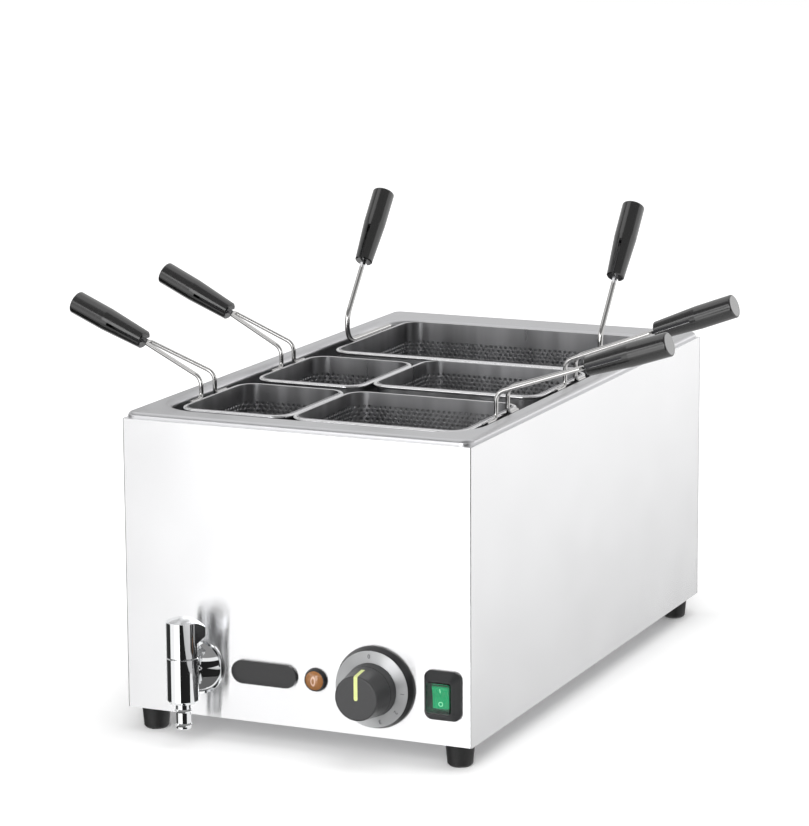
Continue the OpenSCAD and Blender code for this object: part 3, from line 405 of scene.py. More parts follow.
# Deep drawn and polished by wheel: a satin grey with soft streaks
TANK_STEEL = Finish(
    "satin_deep_drawn_stainless", "#C6C6C8", (0.34, 0.03), (0.03, 30.0), (0.0005, 0.6),
    metal=1.0, grain_lay=Lay.LEVEL,
)
# Punched basket sheet, pickled dull after drawing, with upright streaks from the draw; its colour is darker
# than the casing's partly from the pickling and partly as painted shade for the dim insides of the baskets
BASKET_STEEL = Finish(
    "pickled_punched_stainless_sheet", "#A9A9AB", (0.32, 0.05), (0.3, 18.0), (0.004, 0.5),
    metal=1.0, grain_lay=Lay.LEVEL, mottle_lay=Lay.UPRIGHT, brushed=0.6,
)
# Drawn wire, electropolished: bright lines along its length with faint die marks
RIM_WIRE = Finish(
    "electropolished_drawn_wire", "#DADADB", (0.16, 0.04), (0.05, 8.0), (0.003, 0.4), metal=1.0
)
# Mirror plate over polished brass casting: black and white bands with hardly any haze
CHROME = Finish(
    "chrome_plated_brass_casting", "#E9EAEB", (0.035, 0.015), (0.02, 9.0), (0.0006, 1.2), metal=1.0
)
# Moulded phenolic grip: deep black, glossy skin with a little orange peel
GRIP_PLASTIC = Finish(
    "glossy_moulded_phenolic", "#131313", (0.18, 0.03), (0.2, 5.0), (0.002, 1.1),
    sockets=(("Specular IOR Level", 0.8), ("Coat Weight", 0.5), ("Coat Roughness", 0.1)),
)
# Nylon from a spark-eroded mould: soft dark grey sheen
KNOB_PLASTIC = Finish("satin_moulded_nylon", "#363637", (0.36, 0.05), (0.1, 4.0), (0.012, 0.35))
# The same skin in a darker moulding: a black edge behind the bright ring
BASE_PLASTIC = Finish("satin_moulded_dial_base", "#232324", (0.38, 0.05), (0.1, 4.0), (0.01, 0.4))
# Moulded soft rubber: near black with a broad, dull sheen on its rounded edge
FRAME_RUBBER = Finish("moulded_switch_frame_rubber", "#1E1F20", (0.42, 0.06), (0.12, 4.0), (0.015, 0.5))
# Moulded hard rubber: black and matt, with a visible grain
FOOT_RUBBER = Finish("moulded_foot_rubber", "#1A1A1A", (0.55, 0.08), (0.15, 3.0), (0.03, 0.7))
# Polished mould, nothing printed on it: an even dark gloss
PLATE_PLASTIC = Finish("gloss_moulded_plate", "#242425", (0.24, 0.03), (0.06, 9.0), (0.0008, 0.6))
# Pale plastic let into the knob: a matt yellow-green line
POINTER_PLASTIC = Finish("inlaid_pointer_plastic", "#D3DA8E", (0.42, 0.05), (0.05, 3.0), (0.008, 0.4))
# Tinted clear moulding, a full green, with a painted glow: its emission is painted light that makes up for
# what the boot keeps off it, as it is no lamp
ROCKER_PLASTIC = Finish(
    "tinted_moulded_rocker_painted_glow", "#02C898", (0.25, 0.04), (0.06, 6.0), (0.002, 0.6),
    sockets=(("Emission Color", linear("#02B488")), ("Emission Strength", 0.3)),
)
# Pad printed white film on the rocker, thin lines with a painted glow: the emission is painted light that
# keeps them bright behind the boot
MARK_INK = Finish(
    "pad_printed_white_ink_painted_glow", "#E4F8EF", (0.5, 0.05), (0.04, 2.0), (0.002, 0.3),
    sockets=(("Emission Color", linear("#D8F4E8")), ("Emission Strength", 1.0)),
)
# Pad printed film on the metal ring: matt grey where the ring shines
DIAL_INK = Finish("pad_printed_grey_ink", "#66666B", (0.55, 0.05), (0.08, 2.0), (0.004, 0.3))
# Thin clear silicone, tinted where more of it lies in line: the rocker shows through, its edges look pale
BOOT_CLEAR = Finish(
    "clear_moulded_silicone_boot", "#9FD9C2", (0.06, 0.02), (0.06, 7.0), (0.002, 2.0),
    sockets=(("Transmission Weight", 1.0), ("IOR", 1.4), ("Specular IOR Level", 0.2)),
)
# Moulded housings of the inner parts: a plain warm grey
BODY_PLASTIC = Finish("grey_moulded_appliance_body", "#9A9892", (0.5, 0.05), (0.06, 6.0), (0.02, 0.5))
# Steel tube oxidised by its own heat: dark, dull and blotchy
SHEATH = Finish("oxidised_element_sheath", "#4A4744", (0.45, 0.08), (0.2, 9.0), (0.01, 0.5), metal=1.0)
# Turned brass without polish: warm and half bright
BRASS = Finish("turned_brass", "#C2A15A", (0.28, 0.06), (0.1, 7.0), (0.006, 0.4), metal=1.0)
# Extruded silicone: milky, soft and matt
HOSE = Finish("extruded_silicone_hose", "#D8D4C8", (0.5, 0.05), (0.05, 9.0), (0.02, 0.8))
# Bright zinc plate: a cool grey with small shiny spots
SCREW_STEEL = Finish("zinc_plated_screw", "#B9BBBD", (0.3, 0.06), (0.1, 3.0), (0.006, 0.4), metal=1.0)


@dataclass
class MeshMaker:
    """Collects vertices in millimetres and faces, then makes one closed mesh object."""

    name: str
    points: List[Point] = field(default_factory=list)
    faces: List[Sequence[int]] = field(default_factory=list)

    def point(self, x: float, y: float, z: float) -> int:
        """Adds a vertex and returns its index."""
        self.points.append((x, y, z))
        return len(self.points) - 1

    def bridge(self, a: Sequence[int], b: Sequence[int]) -> None:
        """Joins two closed loops of equal length with quads.

        Args:
            a, b: the vertices of the loops.
        """
        n = len(a)
        for i in range(n):
            j = (i + 1) % n
            self.faces.append((a[i], a[j], b[j], b[i]))

    def build(self, material: bpy.types.Material, body: str, slot: str, sharp: float) -> bpy.types.Object:
        """Makes the object in the row frame and lets it ride.

        Args:
            material: finish of the piece.
            body: body that it moves with.
            slot: name of a material slot; not used.
            sharp: edges over this angle in degrees stay crisp.

        Returns:
            The new object.
        """
        mesh = bpy.data.meshes.new(self.name)
        mesh.from_pydata([(x * MM, y * MM, z * MM) for x, y, z in self.points], [], self.faces)
        work = bmesh.new()
        work.from_mesh(mesh)
        bmesh.ops.recalc_face_normals(work, faces=work.faces)
        work.to_mesh(mesh)
        work.free()
        mesh.materials.append(material)
        soften(mesh, sharp)
        obj = stand(self.name, mesh)
        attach(obj, body)
        return obj


@dataclass(frozen=True)
class Spot:
    """Middle of a control on the front panel, in millimetres, read from a solid's box."""

    node: str

    @property
    def x(self) -> float:
        """Place across the panel."""
        lo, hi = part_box(self.node)
        return (lo[0] + hi[0]) / 2 / MM

    @property
    def z(self) -> float:
        """Height above the ground."""
        lo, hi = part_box(self.node)
        return (lo[2] + hi[2]) / 2 / MM

    @property
    def front(self) -> float:
        """The solid's foremost plane."""
        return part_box(self.node)[0][1] / MM

    @property
    def panel(self) -> float:
        """The front panel's plane."""
        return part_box("casing")[0][1] / MM


DIAL = Spot("dial_ring")
ROCKER = Spot("switch_frame")
LAMP = Spot("lamp_lens")


@dataclass(frozen=True)
class Loop:
    """Rectangle of width w and depth d with corners of radius r, which points can be laid along by length."""

    w: float
    d: float
    r: float

    @property
    def length(self) -> float:
        """Length once round."""
        return 2 * (self.w + self.d - 4 * self.r) + 2 * pi * self.r

    def at(self, s: float) -> Tuple[float, float, float, float]:
        """Place and outward normal at a length along the loop.

        Args:
            s: length from the middle of the +X side, counter-clockwise.

        Returns:
            x, y, normal x, normal y.
        """
        s = s % self.length
        half_w = self.w / 2 - self.r
        half_d = self.d / 2 - self.r
        arc = pi / 2 * self.r
        # Straights and corners in turn, each with the direction of its first normal in degrees
        legs = [(half_d, 0), (arc, 0), (2 * half_w, 90), (arc, 90), (2 * half_d, 180), (arc, 180)]
        legs += [(2 * half_w, 270), (arc, 270), (half_d, 360)]
        corners = [(half_w, half_d), (-half_w, half_d), (-half_w, -half_d), (half_w, -half_d)]
        starts = [(self.w / 2, 0.0), (half_w, self.d / 2), (-self.w / 2, half_d)]
        starts += [(-half_w, -self.d / 2), (self.w / 2, -half_d)]
        for i, (leg, turn) in enumerate(legs):
            if s <= leg or i == len(legs) - 1:
                break
            s -= leg
        if i % 2:
            a = radians(turn) + s / self.r
            cx, cy = corners[i // 2]
            return cx + self.r * cos(a), cy + self.r * sin(a), cos(a), sin(a)
        a = radians(turn)
        x, y = starts[i // 2]
        return x - s * sin(a), y + s * cos(a), cos(a), sin(a)


def cell_edge(c: int, lo: float, mid: float, hi: float) -> List[Tuple[int, float]]:
    """Eight places round a hole's cell: columns beside its middle c, at its lower, middle or upper level."""
    right = [(c + 1, mid), (c + 1, hi), (c, hi)]
    return right + [(c - 1, hi), (c - 1, mid), (c - 1, lo), (c, lo), (c + 1, lo)]


@dataclass
class PerforatedBasket:
    """Basket drawn from punched sheet: staggered round holes in the walls and the floor, in millimetres.

    Args:
        node: the solid that it stands for.
        body: body that it moves with.
        x, y: middle in plan.
        w, d: outside of the walls.
        first_row: height of the topmost row of holes, under the plain band.
        top, base: heights of its upper edge and of its floor's underside.
        corner: outer radius of the walls' corners.
        sheet: thickness of the sheet.
        floor_r: outer radius of the bend between walls and floor.
        bend_steps: facets of that bend.
        floor_rim: least width of the floor's plain rim.
        row_pitch, hole_pitch: spacing of the rows, and of the holes in a row.
        hole: diameter of a hole.
        lip: rounding that the die leaves on a hole's inner edge.
        rows: rows of holes in the walls.
        sharp: edges over this angle in degrees stay crisp.
    """

    node: str
    body: str
    x: float
    y: float
    w: float
    d: float
    first_row: float
    top: float
    base: float
    corner: float = 16.1
    sheet: float = 1.0
    floor_r: float = 9.0
    bend_steps: int = 6
    floor_rim: float = 9.0
    row_pitch: float = 3.9
    hole_pitch: float = 5.4
    hole: float = 2.9
    lip: float = 0.35
    rows: int = 23
    sharp: float = 40.0

    def build(self, finishes: Finishes) -> bpy.types.Object:
        """Makes the basket and lets it stand for its solid.

        Args:
            finishes: the cooker's finishes.

        Returns:
            The new object.
        """
        mesh = MeshMaker(self.node + "_punched")
        outer = Loop(self.w, self.d, self.corner)
        count = round(outer.length / self.hole_pitch)
        half = outer.length / count / 2
        places: Dict[Tuple, int] = {}

        def vert(s: float, z: float, side: int, inset: float = 0.0) -> int:
            """Vertex of the wall, made on first use.

            Args:
                s: length round the wall.
                z: height.
                side: 0 for the outer face, 1 for the inner.
                inset: how far it lies inwards from that face.

            Returns:
                Its index.
            """
            at = (round(s % outer.length, PLACE_DIGITS), round(z, PLACE_DIGITS))
            key = (*at, side, round(inset, PLACE_DIGITS))
            if key not in places:
                px, py, nx, ny = outer.at(s)
                off = self.sheet * side + inset
                places[key] = mesh.point(self.x + px - nx * off, self.y + py - ny * off, z)
            return places[key]

        def line(z: float, side: int) -> List[int]:
            """Closed line of half-pitch vertices at a height."""
            return [vert(i * half, z, side) for i in range(2 * count)]

        band_top = self.first_row + self.row_pitch / 2
        levels = [band_top - k * self.row_pitch for k in range(self.rows + 1)]
        for k in range(self.rows):
            for j in range(count):
                self.punch(mesh, vert, 2 * j + 1 + k % 2, half, levels[k], levels[k + 1])
        turns = [radians(90 / self.bend_steps * i) for i in range(1, self.bend_steps + 1)]
        wall_end = self.base + self.floor_r
        floor_loops = []
        for side in (0, 1):
            mesh.bridge(line(self.top, side), line(band_top, side))
            mesh.bridge(line(levels[-1], side), line(wall_end, side))
            arc = self.floor_r - self.sheet * side
            last = line(wall_end, side)
            for a in turns:
                off = self.floor_r - arc * cos(a)
                z = wall_end - arc * sin(a)
                ring = []
                for i in range(2 * count):
                    px, py, nx, ny = outer.at(i * half)
                    ring.append(mesh.point(self.x + px - nx * off, self.y + py - ny * off, z))
                mesh.bridge(last, ring)
                last = ring
            floor_loops.append(last)
        mesh.bridge(line(self.top, 0), line(self.top, 1))
        self.floor(mesh, floor_loops)
        obj = mesh.build(finishes.get(BASKET_STEEL), self.body, "basket_steel", self.sharp)
        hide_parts(self.node)
        return obj

    def punch(
        self, mesh: MeshMaker, vert: Callable[..., int], c: int, half: float, hi: float, lo: float
    ) -> None:
        """Makes one cell of the wall with its hole.

        Args:
            mesh: the basket's mesh.
            vert: gives a vertex of the wall.
            c: the hole's middle round the wall, in half pitches.
            half: half a pitch.
            hi, lo: the cell's upper and lower limit.
        """
        mid = (hi + lo) / 2
        r = self.hole / 2
        edge = cell_edge(c, lo, mid, hi)

        def ring(radius: float, side: int, inset: float = 0.0) -> List[int]:
            """Eight vertices round the hole's middle."""
            spots = [(c * half + radius * cos(a), mid + radius * sin(a)) for a in OCTAGON]
            return [vert(s, z, side, inset) for s, z in spots]

        outside = ring(r, 0)
        inside = ring(r + self.lip, 1)
        throat = ring(r, 1, -self.lip)
        for side, mouth in enumerate((outside, inside)):
            mesh.bridge([vert(i * half, z, side) for i, z in edge], mouth)
        mesh.bridge(inside, throat)
        mesh.bridge(throat, outside)

    def floor(self, mesh: MeshMaker, loops: List[List[int]]) -> None:
        """Makes the floor with its holes, stitched to the bend on both faces.

        Args:
            mesh: the basket's mesh.
            loops: the bend's last loop on the outer and on the inner face.
        """
        inset = self.floor_r + self.floor_rim
        step_x = self.hole_pitch
        step_y = self.row_pitch
        cols = int((self.w - 2 * inset) / step_x)
        rows = int((self.d - 2 * inset) / step_y)
        end = 2 * cols
        x0 = self.x - cols * step_x / 2
        y0 = self.y - rows * step_y / 2
        r = self.hole / 2
        holes: List[List[List[int]]] = [[], []]
        for side in (0, 1):
            z = self.base + self.sheet * side
            grid: Dict[Tuple[int, float], int] = {}

            def at(i: int, j: float) -> int:
                """Vertex of the floor's grid, made on first use.

                Args:
                    i: place across, in half pitches.
                    j: place along, in rows.

                Returns:
                    Its index.
                """
                if (i, j) not in grid:
                    grid[(i, j)] = mesh.point(x0 + i * step_x / 2, y0 + j * step_y, z)
                return grid[(i, j)]

            for j in range(rows):
                odd = j % 2
                if odd:
                    first = [(0, j), (1, j), (1, j + 0.5), (1, j + 1), (0, j + 1)]
                    final = [(end - 1, j), (end, j), (end, j + 1), (end - 1, j + 1), (end - 1, j + 0.5)]
                    for half_cell in (first, final):
                        mesh.faces.append([at(*spot) for spot in half_cell])
                for i in range(cols - odd):
                    c = 2 * i + 1 + odd
                    rim = [at(*spot) for spot in cell_edge(c, j, j + 0.5, j + 1)]
                    cx = x0 + c * step_x / 2
                    cy = y0 + (j + 0.5) * step_y
                    ring = [mesh.point(cx + r * cos(a), cy + r * sin(a), z) for a in OCTAGON]
                    mesh.bridge(rim, ring)
                    holes[side].append(ring)
            border = [at(i, 0) for i in range(end)]
            for j in range(rows):
                border.append(at(end, j))
                if j % 2 == 0:
                    border.append(at(end, j + 0.5))
            border += [at(i, rows) for i in range(end, 0, -1)]
            for j in range(rows, 0, -1):
                border.append(at(0, j))
                if j % 2 == 1:
                    border.append(at(0, j - 0.5))
            self.stitch(mesh, loops[side], border)
        for a, b in zip(holes[0], holes[1]):
            mesh.bridge(a, b)

    def stitch(self, mesh: MeshMaker, outer: List[int], inner: List[int]) -> None:
        """Fills the floor's plain rim with triangles, walking both its loops by angle.

        Args:
            mesh: the basket's mesh.
            outer, inner: the rim's two closed loops.
        """

        def angles(loop: List[int]) -> List[Tuple[float, int]]:
            """Direction of each vertex from the floor's middle with its index, sorted.

            Args:
                loop: the vertices.

            Returns:
                The sorted pairs.
            """
            spots = [mesh.points[i] for i in loop]
            away = [((p[0] - self.x) / self.w, (p[1] - self.y) / self.d) for p in spots]
            return sorted((atan2(v, u), i) for (u, v), i in zip(away, loop))

        a = angles(outer)
        b = angles(inner)
        i = j = 0
        while i < len(a) or j < len(b):
            next_a = a[(i + 1) % len(a)][0] + (tau if i + 1 >= len(a) else 0)
            next_b = b[(j + 1) % len(b)][0] + (tau if j + 1 >= len(b) else 0)
            ia, ib = a[i % len(a)][1], b[j % len(b)][1]
            if j >= len(b) or (i < len(a) and next_a <= next_b):
                mesh.faces.append((ia, a[(i + 1) % len(a)][1], ib))
                i += 1
            else:
                mesh.faces.append((ia, b[(j + 1) % len(b)][1], ib))
                j += 1


@dataclass(frozen=True)
class RockerFace:
    """Face of the rocker switch at rest: two shallow slopes that meet at its pivot, in millimetres.

    Args:
        pivot_out: how far the pivot lies in front of the panel.
        hollow: how far the face lies in front of the pivot there.
        rise: how much further out the face's ends are.
        half: half its height.
        tilt: its lean at rest in degrees.
        film: how far a sign's middle lies in front of the face.
    """

    pivot_out: float = 1.5
    hollow: float = 4.5
    rise: float = 1.0
    half: float = 10.0
    tilt: float = 7.0
    film: float = 0.02

    def place(self, up: float) -> Matrix:
        """Frame on the face, Z out of it.

        Args:
            up: height along the rocker from its pivot.

        Returns:
            The place of a sign there.
        """
        slope = atan2(self.rise, self.half)
        lean = radians(self.tilt) + (slope if up > 0 else -slope)
        out = self.hollow + self.rise * abs(up) / self.half + self.film
        a = radians(self.tilt)
        z = up * cos(a) - out * sin(a)
        y = up * sin(a) + out * cos(a)
        spot = Vector((ROCKER.x, ROCKER.panel - self.pivot_out - y, ROCKER.z + z)) * MM
        return Matrix.Translation(spot) @ Matrix.Rotation(radians(90) + lean, 4, "X")


@dataclass
class Marks:
    """Digits printed round the thermostat's ring and the two signs on the rocker, in millimetres.

    Args:
        ring_r: radius of the digits' middles.
        ring_rise: how far the ring's face lies behind its foremost edge there.
        size: height of the digits' type.
        turns: each digit's turn clockwise from the top, in degrees.
        sign_size: height of the signs' type.
        sign_up: distance of the signs from the rocker's pivot.
        film: half thickness of the ink.
        curve_steps: points on each curve of a letter.
    """

    ring_r: float = 29.6
    ring_rise: float = 0.6
    size: float = 5.4
    turns: Tuple[float, ...] = (-4.0, 92.0, 128.0, 164.0, 200.0, 236.0, 272.0)
    sign_size: float = 6.0
    sign_up: float = 6.2
    film: float = 0.03
    curve_steps: int = 4

    def text(
        self, word: str, size: float, place: Matrix, ink: bpy.types.Material, name: str
    ) -> bpy.types.Object:
        """One thin printed sign.

        Args:
            word: what it says.
            size: letter size.
            place: where it stands, facing +Z.
            ink: its material.
            name: name of the piece.

        Returns:
            The new object.
        """
        curve = bpy.data.curves.new(name, "FONT")
        curve.body = word
        curve.size = size * MM
        curve.extrude = self.film * MM
        curve.align_x = "CENTER"
        curve.align_y = "CENTER"
        curve.resolution_u = self.curve_steps
        shape = stand(name + "_curve", curve)
        bpy.context.view_layer.update()
        mesh = bpy.data.meshes.new_from_object(shape.evaluated_get(bpy.context.evaluated_depsgraph_get()))
        bpy.data.objects.remove(shape)
        work = bmesh.new()
        work.from_mesh(mesh)
        bmesh.ops.remove_doubles(work, verts=work.verts, dist=WELD)
        work.to_mesh(mesh)
        work.free()
        mesh.transform(place)
        mesh.materials.clear()
        mesh.materials.append(ink)
        return stand(name, mesh)

    def build(self, finishes: Finishes) -> int:
        """Prints the marks.

        Args:
            finishes: the cooker's finishes.

        Returns:
            How many marks there are.
        """
        out = Matrix.Rotation(radians(90), 4, "X")
        ink = finishes.get(DIAL_INK)
        base = Matrix.Translation(Vector((DIAL.x, DIAL.front + self.ring_rise, DIAL.z)) * MM)
        for k, angle in enumerate(self.turns):
            turn = Matrix.Rotation(radians(-angle), 4, "Z")
            spot = base @ out @ turn @ Matrix.Translation((0, self.ring_r * MM, 0))
            mark = self.text(str(k), self.size, spot, ink, f"dial_mark_{k}")
            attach(mark, Body.COOKER.value)
        face = RockerFace()
        signs = (("I", "sign_on", 1), ("O", "sign_off", -1))
        for word, name, side in signs:
            spot = face.place(side * self.sign_up)
            sign = self.text(word, self.sign_size, spot, finishes.get(MARK_INK), name)
            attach(sign, Body.ROCKER.value)
        return len(self.turns) + len(signs)


@dataclass
class Solids:
    """Finishes of the solids; edges over the angle sharp in degrees stay crisp."""

    finishes: Finishes
    sharp: float = 32.0

    def wire(self, node: str) -> TangFinish:
        """Finish of a basket's handle.

        Args:
            node: the handle's name.

        Returns:
            Nickel plate, thin and bright over drawn wire, with painted shade or a painted highlight where it
            lies in the slot of its grip.
        """
        # Painted shade in the slots of the left and right grips, a painted highlight in those of the large
        # ones
        tone = SlotTone.RIGHT if "right" in node else SlotTone.LEFT
        if node.startswith("large"):
            tone = SlotTone.LARGE
        low, high = (tuple(v / MM for v in p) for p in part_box(node.replace("_handle", "_grip")))
        return TangFinish(
            "nickel_plated_wire_" + node, "#C6C5C4", (0.12, 0.03), (0.04, 6.0), (0.002, 0.4),
            metal=1.0, low_mm=low, high_mm=high, slot_tone=tone,
        )

    def plan(self) -> Dict[str, Finish]:
        """Chooses the finishes.

        Returns:
            The finish of every node by name.
        """
        # Aluminium turned on its face: a fan of light and dark about the knob
        ring = TurnedFinish(
            "turned_aluminium_ring", "#C8C9CA", (0.43, 0.03), (0.03, 20.0), (0.002, 0.25),
            metal=1.0, brushed=0.97, centre_mm=(DIAL.x, DIAL.z),
        )
        # Amber polycarbonate, unlit: a dark warm gloss with the pale electrode behind it
        lens = LensFinish(
            "amber_moulded_lens", "#98683F", (0.12, 0.04), (0.2, 2.2), (0.05, 1.6),
            centre_mm=(LAMP.x, LAMP.z), sockets=(("Coat Weight", 0.4), ("Coat Roughness", 0.05)),
        )
        chosen = {
            CASING_STEEL: ["casing"],
            REAR_STEEL: ["rear_panel"],
            TANK_STEEL: ["tank", "false_bottom", "base_plate"],
            SCREW_STEEL: ["foot_screws", "rear_screws", "element_clamps", "thermostat_spindle"],
            CHROME: ["tap_rosette", "tap_body", "tap_nozzle", "tap_handle"],
            BRASS: ["tap_nut", "tap_spindle", "sensor_bulb"],
            SHEATH: ["heating_element"],
            HOSE: ["drain_hose"],
            BODY_PLASTIC: ["thermostat", "terminal_block"],
            KNOB_PLASTIC: ["knob", "lamp_body", "switch_body", "overheat_cutout", "cable_gland"],
            BASE_PLASTIC: ["dial_base", "lamp_bezel"],
            FRAME_RUBBER: ["switch_frame"],
            FOOT_RUBBER: ["feet"],
            PLATE_PLASTIC: ["name_plate"],
            POINTER_PLASTIC: ["knob_pointer"],
            ROCKER_PLASTIC: ["switch_rocker"],
            BOOT_CLEAR: ["switch_boot"],
            lens: ["lamp_lens"],
            ring: ["dial_ring"],
        }
        found = {node: finish for finish, nodes in chosen.items() for node in nodes}
        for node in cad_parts:
            if node.endswith("_rim"):
                found[node] = RIM_WIRE
            elif "_handle" in node and not node.startswith("tap"):
                found[node] = self.wire(node)
            elif "_grip" in node:
                found[node] = GRIP_PLASTIC
            elif node.endswith("_basket"):
                found[node] = BASKET_STEEL
        return found

    def build(self) -> int:
        """Gives every node its finish and a smooth skin.

        Returns:
            How many nodes were dressed.
        """
        plan = self.plan()
        for node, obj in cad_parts.items():
            obj.data.materials.clear()
            obj.data.materials.append(self.finishes.get(plan[node]))
            soften(obj.data, self.sharp)
            LOG.info("%s: %s", node, plan[node].name)
        return len(plan)


@dataclass
class Card:
    """A glowing sheet that only reflections see, as a grid of points with a brightness each.

    Args:
        name: name of the card.
        tones: brightness at its two ends.
    """

    name: str
    tones: Pair

    def spot(self, s: float, t: float) -> Point:
        """Place on the card; s runs between the ends, t across."""
        raise NotImplementedError

    def tone(self, s: float) -> float:
        """Brightness at a share of the way between the ends."""
        return self.tones[0] + (self.tones[1] - self.tones[0]) * s

    def build(self) -> bpy.types.Object:
        """Makes the card.

        Returns:
            The new object.
        """
        mesh = bpy.data.meshes.new(self.name)
        row = CARD_STEPS + 1
        shares = [(i / CARD_STEPS, j / CARD_STEPS) for j in range(row) for i in range(row)]
        faces = []
        for j in range(CARD_STEPS):
            for i in range(CARD_STEPS):
                k = j * row + i
                faces.append((k, k + 1, k + row + 1, k + row))
        mesh.from_pydata([self.spot(s, t) for s, t in shares], [], faces)
        tone = mesh.color_attributes.new("tone", "FLOAT_COLOR", "POINT")
        for k, (s, _) in enumerate(shares):
            tone.data[k].color = (self.tone(s),) * 3 + (1.0,)
        mat, tree = blank(self.name)
        shade = tree.add("VertexColor", {"layer_name": "tone"})
        glow = tree.add("Emission", {"Strength": 1.0}, {"Color": shade})
        tree.add("OutputMaterial", None, {"Surface": glow})
        mesh.materials.append(mat)
        obj = stand(self.name, mesh)
        for ray in ("camera", "diffuse", "shadow", "transmission"):
            setattr(obj, "visible_" + ray, False)
        return obj


@dataclass
class DomeCard(Card):
    """Patch of a wide dome: left to right in degrees from the front, low to high in degrees above level."""

    left: float
    right: float
    low: float
    high: float
    radius: float = 6.0

    def spot(self, s: float, t: float) -> Point:
        """Place on the dome.

        Args:
            s: share of the way from left to right.
            t: share of the way from low to high.

        Returns:
            The place in metres.
        """
        a = radians(self.left + (self.right - self.left) * s)
        up = radians(self.low + (self.high - self.low) * t)
        flat = self.radius * cos(up)
        return (flat * sin(a), -flat * cos(a), self.radius * sin(up))


@dataclass
class FloorCard(Card):
    """Strip just above the floor beside the casing, in metres, which reflections see in the floor's place:
    brightness runs away from its wall, so a darker near end paints the casing's shadow.
    """

    near: float
    far: float
    front: float = -0.7
    back: float = 4.0
    lift: float = 0.0005

    def spot(self, s: float, t: float) -> Point:
        """Place on the floor."""
        return (self.near + (self.far - self.near) * s, self.front + (self.back - self.front) * t, self.lift)


